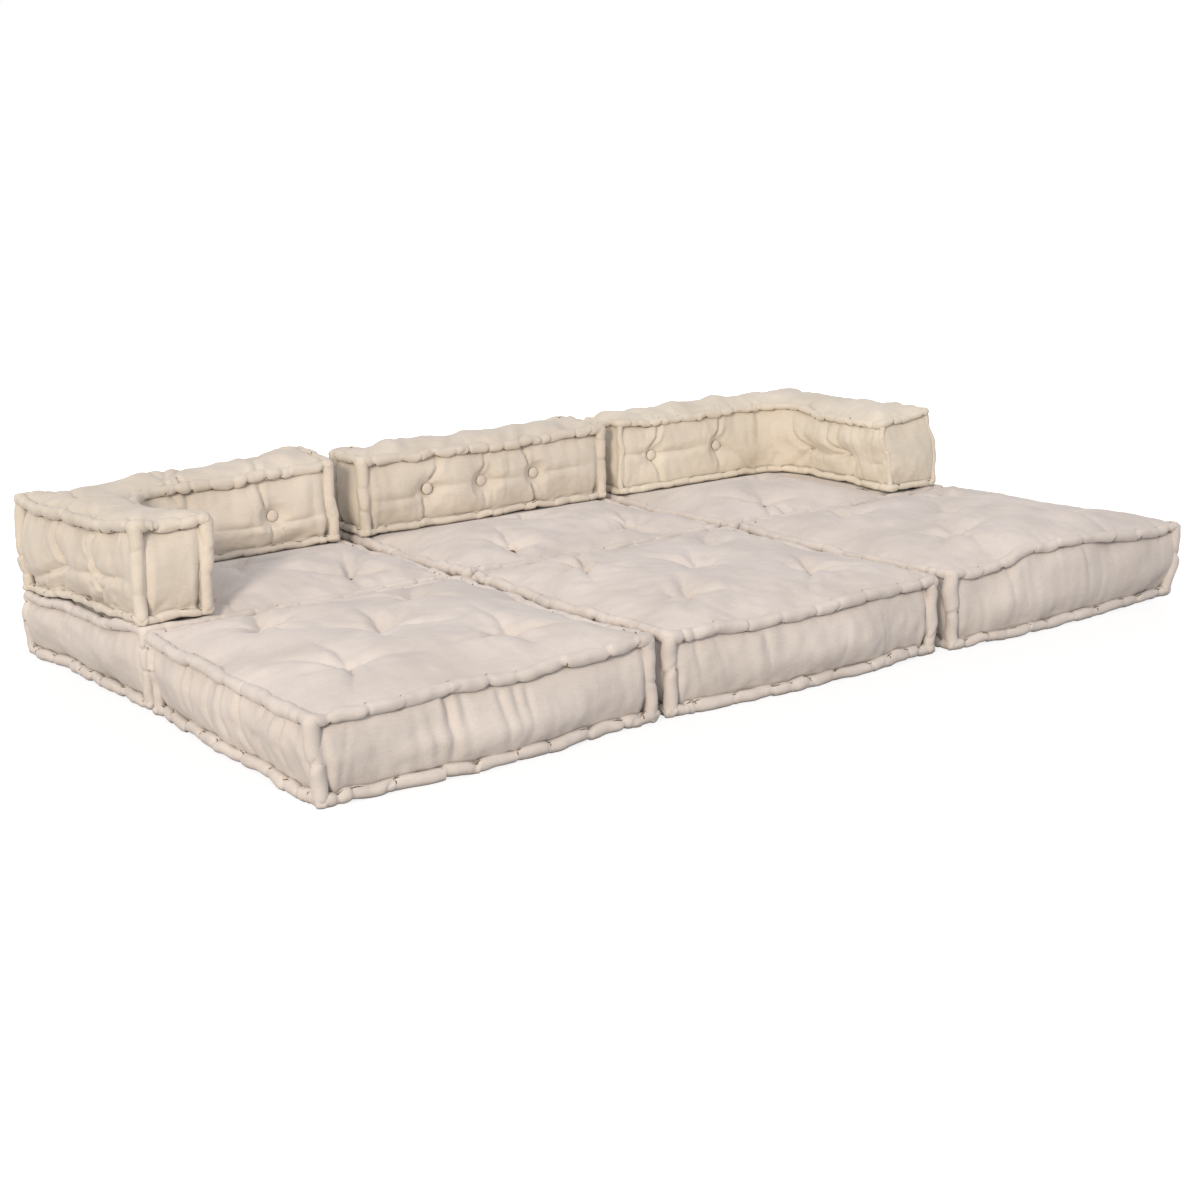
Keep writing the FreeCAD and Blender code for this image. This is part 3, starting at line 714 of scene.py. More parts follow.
def nudged(points, corners, base, height, moves):
    # the sewn corners and edges don't lie quite true: carries the cloth near each spot along
    plan = [c[:2] for c in corners]
    for a, b in zip(plan[:], plan[1:] + plan[:1]):
        if math.dist(a, b) > leanLook["longSide"]:
            plan.append(((a[0] + b[0]) / 2, (a[1] + b[1]) / 2))
    anchors = [(x, y, z) for x, y in plan for z in (base, base + height)]
    shifts = [(0, 0, 0)] * len(anchors)
    for spot, shift in moves:
        spot = np.array(spot) / 1000
        gaps = [np.linalg.norm(spot - a) for a in anchors]
        k = int(np.argmin(gaps))
        if gaps[k] < leanLook["atCorner"]:
            shifts[k] = shift
        else:
            anchors.append(tuple(spot))
            shifts.append(shift)
    flatten = np.array(leanLook["flatten"])
    weight = np.zeros((len(points), len(anchors)))
    for k, a in enumerate(anchors):
        weight[:, k] = np.exp(-np.sum(((points - a) * flatten) ** 2, axis=1) / leanLook["reach"] ** 2)
    weight /= weight.sum(axis=1)[:, None] + 1e-12
    return points + weight @ (np.array(shifts, dtype=float) / 1000)


def newObject(name, points, faces, material):
    mesh = bpy.data.meshes.new(name)
    mesh.from_pydata([tuple(p) for p in points], [], faces)
    mesh.materials.append(material)
    mesh.shade_smooth()
    made = bpy.data.objects.new(name, mesh)
    bpy.context.collection.objects.link(made)
    return made


def readOff(mesh, what):
    # "co" gives the points, "normal" the directions that they face
    flat = np.empty(len(mesh.vertices) * 3)
    mesh.vertices.foreach_get(what, flat)
    return flat.reshape(-1, 3)


def setPoints(mesh, points):
    mesh.vertices.foreach_set("co", np.ascontiguousarray(points, dtype=float).ravel())
    mesh.update()


def addCloth(made, sewn, held):
    # stuffing pressure from inside, seams and tufts held, cloth cut a little larger than the space
    group = made.vertex_groups.new(name="held")
    group.add([int(i) for i in np.nonzero(held)[0]], 1, "REPLACE")
    made.shape_key_add(name="Basis")
    key = made.shape_key_add(name="sewn")
    key.data.foreach_set("co", np.ascontiguousarray(sewn).ravel())
    key.value = 0
    cloth = made.modifiers.new("cloth", "CLOTH")
    what = cloth.settings
    what.vertex_group_mass = "held"
    what.rest_shape_key = key
    what.use_pressure, what.uniform_pressure_force = True, cushionLook["pressure"]
    what.effector_weights.gravity = 0
    what.quality, what.mass = cushionLook["quality"], cushionLook["mass"]
    what.tension_stiffness = what.compression_stiffness = cushionLook["stretch"]
    what.bending_stiffness = cushionLook["bend"]
    cloth.collision_settings.use_self_collision = False
    cloth.collision_settings.use_collision = False
    cloth.point_cache.frame_start, cloth.point_cache.frame_end = 1, cushionLook["simFrames"]


def bakedMesh(made):
    return bpy.data.meshes.new_from_object(made.evaluated_get(bpy.context.evaluated_depsgraph_get()))


def subdivided(made):
    made.modifiers.new("smooth", "SUBSURF").levels = 1
    mesh = bakedMesh(made)
    made.modifiers.clear()
    made.data = mesh
    mesh.shade_smooth()


# Edge rolls

rollLook = {
    "seatLump": (0.045, 0.105), "backLump": (0.032, 0.070),  # from one stitch to the next
    "notch": (0.16, 0.42), "backNotch": (0.06, 0.24), "pinch": 0.44,  # how deep a stitch draws the roll in
    "notchWidth": 0.0044, "widths": (0.7, 1.5), "notchPower": 1.4, "allRound": 0.3, "slant": 0.009,
    "swell": (0.0, 0.20), "swellWays": (0.6, 1.6), "swellPower": 0.6, "shingle": 0.0024,
    "wander": 0.0018, "wanders": ((0.6, 0.09), (0.5, 0.045)), "thickness": (0.05, 0.12),
    "wrinkles": ((0.03, 2, 0.013), (0.02, 3, -0.021)),  # height, how many round, and how long in metres
    "foot": 0.0085, "step": 0.0030, "sides": 18,
    "outlineStep": 0.006, "footRise": 0.3, "besideCorner": 0.030, "apart": 0.02,
    "uprightEnds": (0.006, 0.010), "uprightOut": 0.001, "topKnot": 0.98, "footKnot": 1.12,
}


def stitchShares(length, lump, seed):
    # where a stitch draws the roll in, as shares of its length
    ends = np.cumsum(np.random.default_rng(seed).uniform(*lump, size=int(length / lump[0]) + 2))
    return ends[ends < length - lump[0] / 2] / length


def resampled(path, step, closed):
    run = np.vstack([path, path[:1]]) if closed else path
    along = np.concatenate([[0], np.cumsum(np.linalg.norm(np.diff(run, axis=0), axis=1))])
    count = max(8, round(along[-1] / step))
    at = np.linspace(0, along[-1], count + (0 if closed else 1), endpoint=not closed)
    return np.column_stack([np.interp(at, along, run[:, k]) for k in range(3)]), along[-1]


def rollTube(path, radius, notches, pinches, deep, seed, closed, upward, deepAt):
    # one stitched roll: lumps between slanting notches, deepest on the side that deepAt (degrees) faces
    line, length = resampled(path, rollLook["step"], closed)
    n, sides = len(line), rollLook["sides"]
    share = np.arange(n) / (n if closed else n - 1)
    pick = np.random.default_rng(seed)
    tangent = np.roll(line, -1, axis=0) - np.roll(line, 1, axis=0) if closed else np.gradient(line, axis=0)
    tangent /= np.linalg.norm(tangent, axis=1)[:, None]
    across = np.cross(tangent, upward)
    across /= np.linalg.norm(across, axis=1)[:, None]
    above = np.cross(across, tangent)
    (much, long), (less, short) = rollLook["wanders"]
    off = [much * lumps(line, long, seed + k) + less * lumps(line, short, seed + k + 9) for k in (4, 5)]
    off = [rollLook["wander"] * part for part in off]
    turns = np.arange(sides) * 2 * math.pi / sides
    toDeep = 0.5 + 0.5 * np.cos(turns - math.radians(deepAt))
    thick, wave = rollLook["thickness"]
    size = np.ones((n, sides)) + thick * lumps(line, wave, seed + 3)[:, None]
    marks = [(at, pick.uniform(*deep)) for at in notches]
    marks = sorted(marks + [(at, rollLook["pinch"]) for at in pinches])
    slide = np.zeros((n, 2))
    for k, (at, depth) in enumerate(marks):
        gap = share - at
        gap = (gap - np.round(gap) if closed else gap) * length
        wide = rollLook["notchWidth"] * pick.uniform(*rollLook["widths"])
        slant = pick.normal() * rollLook["slant"]
        shifted = gap[:, None] - slant * np.sin(turns - math.radians(deepAt))[None, :]
        drawn = (rollLook["allRound"] + (1 - rollLook["allRound"]) * toDeep)[None, :]
        size -= depth * drawn * np.exp(-(abs(shifted) / wide) ** rollLook["notchPower"])
        following = marks[(k + 1) % len(marks)][0] + (1 if k == len(marks) - 1 else 0)
        u = ((share - at) % 1 if closed else share - at) / max(1e-6, following - at)
        lump = (u >= 0) & (u < 1)
        slide[lump] += (u[lump, None] - 0.5) * pick.normal(size=2) * rollLook["shingle"]
        swell, skew = pick.uniform(*rollLook["swell"]), pick.choice(rollLook["swellWays"])
        size += swell * (np.sin(math.pi * np.clip(u, 0, 1) ** skew) ** rollLook["swellPower"])[:, None]
    centre = line + across * (off[0] + slide[:, 0])[:, None] + above * (off[1] + slide[:, 1])[:, None]
    along = (share * length)[:, None]
    wrinkles = rollLook["wrinkles"]
    size *= 1 + sum(high * np.sin(many * turns[None, :] + along / long) for high, many, long in wrinkles)
    if not closed:
        toEnd = np.clip(np.minimum(share, 1 - share) * length / radius, 0.02, 1)
        size *= np.sqrt(1 - (1 - toEnd) ** 2)[:, None]
    r = (radius * size)[:, :, None]
    level, height = np.cos(turns)[None, :, None], np.sin(turns)[None, :, None]
    points = centre[:, None, :] + r * (across[:, None, :] * level + above[:, None, :] * height)
    frames = {
        "centre": centre, "tangent": tangent, "across": across, "above": above,
        "size": radius * size, "share": share, "length": length,
    }
    return points.reshape(-1, 3), bandFaces(n, sides, closed=closed, capped=not closed), frames


knotLook = {
    "rings": 14, "around": 20, "pole": 0.02, "folds": (3, 5), "fold": 0.08,
    "lump": 0.10, "flat": 0.85,
}


def knotBall(spot, radius, seed):
    # the puckered lump of cloth where the rolls meet at a corner
    rings, around, pole = knotLook["rings"], knotLook["around"], knotLook["pole"]
    pick = np.random.default_rng(seed)
    turn = np.arange(around) * 2 * math.pi / around
    down, turn = np.meshgrid(np.linspace(pole, math.pi - pole, rings), turn, indexing="ij")
    flat = np.sin(down)
    way = np.stack([flat * np.cos(turn), flat * np.sin(turn), np.cos(down)], axis=-1).reshape(-1, 3)
    folds = sum(np.cos(k * turn + pick.uniform(*anyTurn) + 1.5 * down) for k in knotLook["folds"])
    folds, uneven = (folds * flat).ravel(), lumps(way * radius, radius * 1.6, seed + 1)
    size = radius * (1 + knotLook["fold"] * folds + knotLook["lump"] * uneven)
    points = np.array(spot) + way * size[:, None] * np.array((1, 1, knotLook["flat"]))
    return points, bandFaces(rings, around, inward=True, capped=True)


def joined(parts):
    points, faces, start = [], [], 0
    for p, f in parts:
        points.append(p)
        faces += [[k + start for k in face] for face in f]
        start += len(p)
    return np.vstack(points), faces


stitchLook = {
    "thread": 0.0012, "seamLong": (0.008, 0.034), "topLong": (0.005, 0.013), "sides": 5, "steps": 7,
    "dashes": 0.85, "ticks": 0.35, "inner": 0.5, "hiddenFoot": 0.35,  # how often each is seen
    "sunk": 0.0024, "offMark": 0.8, "low": 0.92, "rise": (25, 70), "innerAt": (125, -150),  # degrees
    "upright": 20, "uprightHalf": 0.03,
}


def stitchRun(frames, shares, angles):
    # twine over the face of a roll from spot to spot, sunk at both ends
    sides = stitchLook["sides"]
    picked = np.clip(np.searchsorted(frames["share"], np.mod(shares, 1)), 0, len(frames["share"]) - 1)
    column = np.round(np.degrees(angles) / 360 * rollLook["sides"]).astype(int) % rollLook["sides"]
    across, above, ahead = (frames[k][picked] for k in ("across", "above", "tangent"))
    out = across * np.cos(angles)[:, None] + above * np.sin(angles)[:, None]
    sink = stitchLook["sunk"] * np.linspace(-1, 1, len(picked)) ** 2
    line = frames["centre"][picked] + out * (frames["size"][picked, column] - sink)[:, None]
    run = np.gradient(line, axis=0)
    run /= np.linalg.norm(run, axis=1)[:, None] + 1e-9
    over = np.cross(run, out)
    turns = np.arange(sides) * 2 * math.pi / sides
    level, height = np.cos(turns)[None, :, None], np.sin(turns)[None, :, None]
    points = line[:, None, :] + stitchLook["thread"] * (out[:, None, :] * level + over[:, None, :] * height)
    return points.reshape(-1, 3), bandFaces(len(picked), sides, capped=True)


def sewnStitches(frames, notches, deepAt, often, seed):
    # under the lumps a dash along the seam, here and there a tick up over the roll, and small dashes along
    # its inner side; the dark twine of these dashes is also painted shade for the drawn-in seam
    pick = np.random.default_rng(seed)
    steps, runs = stitchLook["steps"], []
    low, inner = math.radians(deepAt * stitchLook["low"]), math.radians(stitchLook["innerAt"][deepAt > 0])
    for at in notches:
        half = pick.uniform(*stitchLook["seamLong"]) / 2 / frames["length"]
        start = at + half * pick.uniform(-stitchLook["offMark"], stitchLook["offMark"])
        seen = pick.uniform(size=3) / often
        if seen[0] < stitchLook["dashes"]:
            runs.append(((start - half, start + half), (low, low)))
        if seen[1] < stitchLook["ticks"]:
            rise = math.radians(pick.uniform(*stitchLook["rise"])) * (1 if deepAt < 0 else -1)
            runs.append(((at, at), (low, low + rise)))
        if seen[2] < stitchLook["inner"]:
            half = pick.uniform(*stitchLook["topLong"]) / 2 / frames["length"]
            runs.append(((at - half, at + half), (inner, inner)))
    return [stitchRun(frames, *(np.linspace(*ends, steps) for ends in run)) for run in runs]


# Folds of one cushion

foldLook = {
    "seatEvery": (0.022, 0.085), "backEvery": (0.09, 0.28),  # from one gather to the next
    "depth": (0.0004, 0.0026), "depthPower": 2.2, "width": (0.004, 0.010), "lean": 0.02,
    "falls": (0.12, 0.25, 0.6, 3.0), "fallShares": (0.4, 0.3, 0.2, 0.1),  # how far down a gather carries
    "sharp": 1.5, "lip": (0.4, 2.1, 1.1),  # height, distance and width of the swelling beside a gather
    "topDepth": (0.0006, 0.0028), "topReach": (0.012, 0.05), "topWidens": 0.04,
    "smooth": 0.85, "smoothReach": 0.02,
    "packing": 0.0030, "packingWave": 0.13, "ripple": 0.0008, "rippleWave": 0.045, "seamHold": 0.03,
    "topLump": (0.0022, 0.085), "topDip": (0.002, 0.11),
}


def alongSides(points, corners):
    # distance from the outer line, and where round it, as a share of its length
    ends = [np.array(c[:2]) for c in corners]
    lengths = [np.linalg.norm(b - a) for a, b in zip(ends, ends[1:] + ends[:1])]
    best, share, start = np.full(len(points), 9.0), np.zeros(len(points)), 0
    for a, b, long in zip(ends, ends[1:] + ends[:1], lengths):
        t = np.clip((points[:, :2] - a) @ (b - a) / long ** 2, 0, 1)
        d = np.linalg.norm(points[:, :2] - a - t[:, None] * (b - a), axis=1)
        nearer = d < best
        best[nearer], share[nearer] = d[nearer], (start + t[nearer] * long) / sum(lengths)
        start += long
    return best, share, sum(lengths)


def gather(points, normals, c):
    # vertical gathers from the seams down and up the sides, and short ones out over the top
    look, pick = foldLook, np.random.default_rng(c["seed"] + 6)
    away, share, length = alongSides(points, c["corners"])
    v = np.clip((points[:, 2] - c["base"]) / c["height"], 0, 1)
    upright = np.clip(1.15 - abs(normals[:, 2]) * 1.5, 0, 1)
    facingUp = np.clip(normals[:, 2] * 1.6 - 0.4, 0, 1) * (v > 0.5)
    push = np.zeros(len(points))
    (low, high), (lip, lipAt, lipWidth) = look["depth"], look["lip"]
    for stitches, fromTop in ((c["stitchTop"], True), (c["stitchFoot"], False)):
        between = np.cumsum(pick.uniform(*c["every"], size=int(length / c["every"][0]))) / length
        for at, sewn in [(a, True) for a in stitches] + [(a, False) for a in between if a < 1]:
            depth, w = low + (high - low) * pick.uniform() ** look["depthPower"], pick.uniform(*look["width"])
            fall, lean = pick.choice(look["falls"], p=look["fallShares"]), pick.normal() * look["lean"]
            down = (1 - v) if fromTop else v
            gap = share - at
            gap = (gap - np.round(gap)) * length + lean * down
            near = abs(gap) < 6 * w
            g = abs(gap[near])
            fold = np.exp(-(g / w) ** look["sharp"]) - lip * np.exp(-((g - lipAt * w) / (lipWidth * w)) ** 2)
            push[near] -= depth * fold * np.exp(-down[near] / fall) * upright[near]
            if fromTop and sewn:
                reach, shallow = pick.uniform(*look["topReach"]), pick.uniform(*look["topDepth"])
                near = abs(gap) < 0.06
                wide = w * (1 + away[near] / look["topWidens"])
                out = np.exp(-(gap[near] / wide) ** 2) * np.exp(-away[near] / reach)
                push[near] -= shallow * out * facingUp[near]
    for box in smooth.get(c["name"], []):
        out = outOfBox(points[:, 0], points[:, 1], box)
        push *= 1 - look["smooth"] * np.exp(-(out / look["smoothReach"]) ** 2)
    return points + normals * push[:, None]


# Covered buttons

buttonLook = {
    "radius": 0.0135, "rise": 0.0065, "back": 0.004, "rings": 12, "around": 40, "pleats": 9, "pleat": 0.0004,
    "turned": 2.2, "dentAt": 1.15, "dentWidth": 0.12, "dent": 0.0008,  # along the profile, in radians
    "y": 0.5165, "inset": 0.014,  # middle of a button, in from the end of the row
    "dimple": 0.0015, "slope": 0.8, "dimpleReach": 0.04, "dimpleWithin": 0.03,
}


def coveredButton(centre, axis, seed):
    # a domed disc with the cloth drawn round its rim in small pleats
    pick = np.random.default_rng(seed)
    look = buttonLook
    axis = np.array(axis, dtype=float)
    side = np.cross((0, 0, 1.0), axis)
    other = np.cross(axis, side)
    turn = np.arange(look["around"]) * 2 * math.pi / look["around"]
    pleat = np.sin(turn * look["pleats"] + pick.uniform(*anyTurn))
    pleat += 0.5 * np.sin(turn * (look["pleats"] + 4) + pick.uniform(*anyTurn))
    points, quarter = [np.array(centre) + axis * look["rise"]], math.pi / 2
    for k in range(1, look["rings"] + 1):
        # over the dome to the rim, then round it and back to the cushion
        s = k / look["rings"] * look["turned"]
        if s < quarter:
            r, rise = look["radius"] * math.sin(s), look["rise"] * math.cos(s) ** 0.8
        else:
            r = look["radius"] * (1 - 0.35 * (s - quarter))
            rise = -look["back"] * (s - quarter) / (look["turned"] - quarter)
        dent = look["dent"] * math.exp(-((s - look["dentAt"]) / look["dentWidth"]) ** 2)
        out = r + look["pleat"] * pleat * min(1, s / 1.6) ** 2
        around = np.outer(out * np.cos(turn), side) + np.outer(out * np.sin(turn), other)
        points += list(np.array(centre) + axis * (rise - dent) + around)
    rings, around = look["rings"], look["around"]
    faces = [[0, 1 + k, 1 + (k + 1) % around] for k in range(around)]
    faces += bandFaces(rings, around, start=1, inward=True)
    faces.append([1 + (rings - 1) * around + k for k in reversed(range(around))])
    return np.array(points), faces


makeCamera()
makeLight()
makeFloor()
print("camera, light and floor made")

# painted light: seat and back canvas differ only in a tint that stands in for the colour of their light
seatCloth = makeCanvas("unbleached_cotton_canvas", canvas["seat"])
backCloth = makeCanvas("washed_cotton_canvas", canvas["back"])
# painted light: the right back's cloth is painted paler for the brighter light on it
paintedLitCloth = makeCanvas("sun_bleached_cotton_canvas", canvas["paleBack"])
twineAndSeamShade = makeTwine()

seatLook = {
    "height": 0.170, "crown": 0.034, "tuftX": 0.325 / 2, "tuftY": {"front": 0.345 / 2, "rear": 0.390 / 2},
    "tuft": {
        "depth": 0.0262, "reach": 0.064, "floor": 0.007, "folds": 5, "lead": 1.22, "crease": 0.0080,
        "long": (0.06, 0.16),
    },
    "under": {"depth": 0.012, "reach": 0.028, "floor": 0.008},
    "shift": {"front_left": (-0.024, -0.004), "front_centre": (-0.010, -0.004)},  # tufts off their marks
}
backLook = {
    "height": 0.188, "crown": 0.014, "base": 0.1703, "limb": 0.158, "arm": 0.170, "tuftLevel": 0.065,
    "button": {
        "depth": 0.019, "reach": 0.044, "floor": 0.012, "folds": 5, "crease": 0.004, "long": (0.04, 0.08),
    },
    "tuft": {
        "depth": 0.025, "reach": 0.056, "floor": 0.007, "folds": 5, "crease": 0.006, "long": (0.05, 0.09),
    },
    # tufts of each arm: y, and how far forward, how far up and how deep it lies on the left face
    "marks": {
        -1: ((0.280, -0.022, 0.009, 0.010), (0.438, 0.004, 0.016, 0.020)),
        1: ((0.240, -0.029, 0.015, 0.016), (0.396, -0.018, 0.016, 0.010)),
    },
}

# folds that the cushions show, face by face: depth, width and run, deepest end first, in millimetres
# y, z at the left, x, z in front and x, y on top
folds = {
    "left_back": {
        "left": [
            (7, 8, (449, 254), (458, 285), (451, 335)),
            (7, 9, (452, 240), (553, 216), (649, 200)),
            (6, 9, (438, 240), (356, 244)),
            (6, 9, (292, 247), (356, 244)),
            (7, 9, (272, 249), (184, 249), (93, 250)),
            (7, 8, (268, 258), (272, 299), (260, 328)),
            (4, 7, (290, 290), (303, 305), (313, 330)),
            (6, 8, (442, 230), (470, 197), (501, 166)),
            (4, 7, (522, 221), (560, 191), (514, 164)),
            (6, 8, (272, 236), (256, 212), (289, 183), (282, 167)),
            (4, 7, (185, 246), (220, 228), (256, 212)),
            (5, 6, (135, 338), (140, 306)),
        ],
        "front": [
            (5, 6, (-592, 273), (-601, 315), (-605, 357)),
            (5, 7, (-580, 237), (-580, 209), (-580, 172)),
            (4, 9, (-602, 243), (-656, 243), (-733, 247)),
            (4, 9, (-567, 243), (-507, 243), (-443, 248)),
            (7, 6, (-780, 361), (-775, 334), (-771, 302)),
            (4, 7, (-813, 354), (-810, 330), (-794, 307)),
            (2, 9, (-635, 347), (-637, 297)),
        ],
        "top": [
            (3, 9, (-806, 544), (-795, 575), (-757, 690)),
            (3, 9, (-783, 555), (-715, 648), (-655, 700)),
            (3, 9, (-815, 535), (-822, 611)),
            (4, 9, (-601, 515), (-577, 601)),
            (4, 10, (-1015, 487), (-956, 693)),
            (4, 10, (-1075, 262), (-1047, 365), (-1003, 428)),
        ],
    },
    "centre_back": {
        "front": [
            (5, 7, (-159, 281), (-141, 307), (-137, 345)),
            (5, 7, (-179, 235), (-177, 206), (-175, 160)),
            (4, 9, (-163, 257), (-122, 262), (-46, 264)),
            (4, 9, (-202, 248), (-259, 246), (-320, 250)),
            (5, 6, (-20, 277), (-10, 298), (-6, 322), (6, 350)),
            (3, 8, (-16, 238), (-12, 208), (-11, 176)),
            (4, 9, (-7, 261), (48, 259), (103, 257)),
            (6, 6, (116, 283), (109, 316), (104, 350)),
            (7, 6, (125, 232), (136, 200), (140, 160)),
            (4, 9, (141, 257), (210, 261), (295, 263)),
        ],
    },
    "right_back": {
        "front": [
            (6, 6, (489, 280), (506, 304), (516, 334), (514, 368)),
            (4, 9, (469, 268), (394, 273)),
            (6, 6, (496, 250), (513, 218), (525, 180)),
            (5, 9, (506, 265), (602, 262), (664, 270)),
            (7, 7, (700, 286), (712, 301), (719, 327), (716, 371)),
            (5, 7, (702, 257), (713, 222), (719, 181)),
            (6, 8, (716, 262), (778, 230), (836, 190)),
            (3, 7, (773, 360), (769, 321)),
            (3, 9, (845, 353), (848, 310), (844, 259)),
            (3, 7, (888, 219), (888, 184)),
        ],
        "left": [
            (6, 9, (389, 246), (418, 254), (439, 287), (446, 340)),
            (5, 8, (389, 242), (408, 223), (461, 180)),
            (6, 7, (380, 241), (402, 210), (420, 167)),
            (6, 9, (382, 243), (353, 239), (308, 236)),
            (7, 9, (222, 249), (257, 241), (308, 236)),
            (8, 8, (218, 252), (241, 256), (265, 266), (283, 289), (285, 325)),
            (8, 8, (212, 256), (239, 268), (248, 293), (236, 325)),
            (5, 8, (207, 246), (199, 237), (209, 204)),
            (4, 8, (224, 175), (214, 213)),
            (5, 7, (96, 325), (111, 292), (123, 265)),
            (4, 8, (89, 238), (123, 234)),
        ],
    },
    "front_left": {
        "front": [
            (6, 8, (-831, 150), (-832, 82), (-836, 19)),
            (2.5, 9, (-801, 135), (-799, 66)),
            (3, 9, (-726, 125), (-723, 50), (-716, 10)),
            (3, 8, (-694, 127), (-696, 54)),
            (2.5, 8, (-669, 122), (-675, 40)),
        ],
        "left": [
            (5, 8, (-149, 140), (-136, 68), (-142, 26)),
            (3.5, 8, (-177, 125), (-177, 48)),
            (5, 9, (-248, 135), (-245, 83), (-267, 41)),
            (5, 9, (-316, 135), (-317, 81), (-333, 28)),
            (5, 9, (-382, 132), (-385, 69), (-421, 23)),
            (5, 8, (-477, 130), (-449, 75), (-465, 24)),
            (4, 8, (-523, 133), (-494, 86)),
            (4, 8, (-557, 131), (-539, 79), (-547, 37)),
        ],
    },
    "front_centre": {
        "front": [
            (2.5, 10, (-280, 128), (-270, 44)),
            (2.5, 10, (-121, 122), (-114, 34)),
        ],
    },
    "front_right": {
        "front": [
            (2, 10, (555, 137), (563, 37)),
            (2, 10, (789, 133), (793, 43)),
        ],
    },
}

# stretches of side cloth that lie smooth, as boxes on the plan
smooth = {
    "left_back": [(-1.07, 0.0, -0.93, 0.10)],
    "front_left": [(-1.12, -0.10, -1.04, 0.0)],
}

# where the upper roll is pinched through, in millimetres on the plan
pinches = {
    "left_back": [(-811, 515), (-773, 515), (-645, 515), (-600, 515), (-562, 515), (-450, 515), (-1045, 68)],
    "centre_back": [(x, 515) for x in (-187, -137, -84, -45, 11, 50, 106, 164, 272)],
    "right_back": [(519, 515), (725, 515), (861, 515), (929, 325), (929, 285), (929, 160), (929, 117)],
}

# how far the hand-sewn corners and edges stand off their lines: spot and shift in millimetres
leans = {
    "front_left": [
        ((-1087, -660, 170), (-20, -20, -4)), ((-1087, 30, 170), (-8, 0, 0)),
        ((-1087, -315, 170), (-6, 0, -4)),
        ((-1087, -660, 0), (-14, -22, 0)), ((-735, -660, 0), (0, -20, 0)),
        ((-382, -660, 170), (8, 0, 0)), ((-382, -660, 85), (10, 0, 0)), ((-382, -660, 0), (10, 0, 0)),
    ],
    "front_centre": [((0, -660, 0), (0, -10, 0))],
    "front_right": [
        ((1087, -660, 170), (32, -6, 4)), ((1087, -660, 85), (36, 0, 0)), ((1087, -660, 0), (18, 12, 0)),
        ((735, -660, 170), (0, 0, 26)), ((500, -660, 0), (0, -18, 0)), ((735, -660, 0), (0, -6, 0)),
    ],
    "rear_left": [
        ((-1087, 660, 170), (-22, 0, -30)), ((-1087, 660, 85), (-32, 0, 0)), ((-1087, 660, 0), (-24, 0, 0)),
        ((-1087, 355, 170), (-6, 0, -12)), ((-1087, 355, 85), (-6, 0, 0)),
    ],
    "centre_back": [((-150, 660, 358), (0, 0, 2)), ((350, 660, 358), (0, 0, 4))],
    "left_back": [
        ((-1087, 56, 358), (0, 0, 20)), ((-917, 56, 358), (-6, 0, 12)), ((-917, 56, 170), (-15, 0, 0)),
        ((-1087, 660, 358), (-2, 0, 34)), ((-1087, 358, 358), (0, 0, 12)), ((-420, 660, 358), (4, 0, 24)),
        ((-753, 660, 358), (0, 0, 8)), ((-960, 600, 378), (0, 0, 9)), ((-645, 502, 258), (0, 0, -11)),
        ((-1087, 660, 264), (-6, 0, 0)), ((-420, 502, 358), (5, 0, 0)), ((-420, 502, 170), (12, 0, 0)),
        ((-420, 660, 170), (8, 0, 0)),
    ],
    "right_back": [
        ((917, 56, 358), (-52, 0, -20)), ((1087, 56, 358), (-60, 0, 20)), ((1087, 56, 264), (-24, 0, 0)),
        ((1000, 180, 378), (-40, 0, 12)), ((917, 56, 170), (-24, 0, 0)), ((1087, 56, 170), (-28, 0, 0)),
        ((917, 279, 358), (-30, 0, -12)), ((1087, 358, 358), (-16, 0, 0)),
    ],
}


def knotted(kind, spot, axis):
    return dict(kind, spot=spot, axis=axis)


cushions = []
for row, spacing in seatLook["tuftY"].items():
    for column in ("left", "centre", "right"):
        lo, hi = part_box(f"{row}_{column}_top_roll")
        name, middle = f"{row}_{column}", (lo + hi) / 2
        shift = seatLook["shift"].get(name, (0, 0))
        tufts, top = [], seatLook["height"] - edges["full"]["rimDrop"] + seatLook["crown"]
        for a, b in ((0, 0), (-1, -1), (1, -1), (-1, 1), (1, 1)):
            x, y = middle.x + a * seatLook["tuftX"], middle.y + b * spacing
            tufts.append(knotted(seatLook["tuft"], (x + shift[0], y + shift[1], top), (0, 0, 1)))
            tufts.append(knotted(seatLook["under"], (x, y, 0), (0, 0, -1)))
        free = (row == "front", column == "right", row == "rear", column == "left")
        cushions.append({
            "name": name, "body": name + "_seat", "corners": rectangleCorners(lo, hi),
            "bows": [seam["bow"] if out else seam["bowInside"] for out in free],
            "height": seatLook["height"], "base": 0.0, "crown": seatLook["crown"], "cloth": seatCloth,
            "tufts": tufts, "seed": 100 + 10 * len(cushions), "buttons": [],
            "cell": cushionLook["seatCell"], "every": foldLook["seatEvery"], "lump": rollLook["seatLump"],
        })
backBodies = {"left": "left_corner_back", "centre": "straight_back", "right": "right_corner_back"}
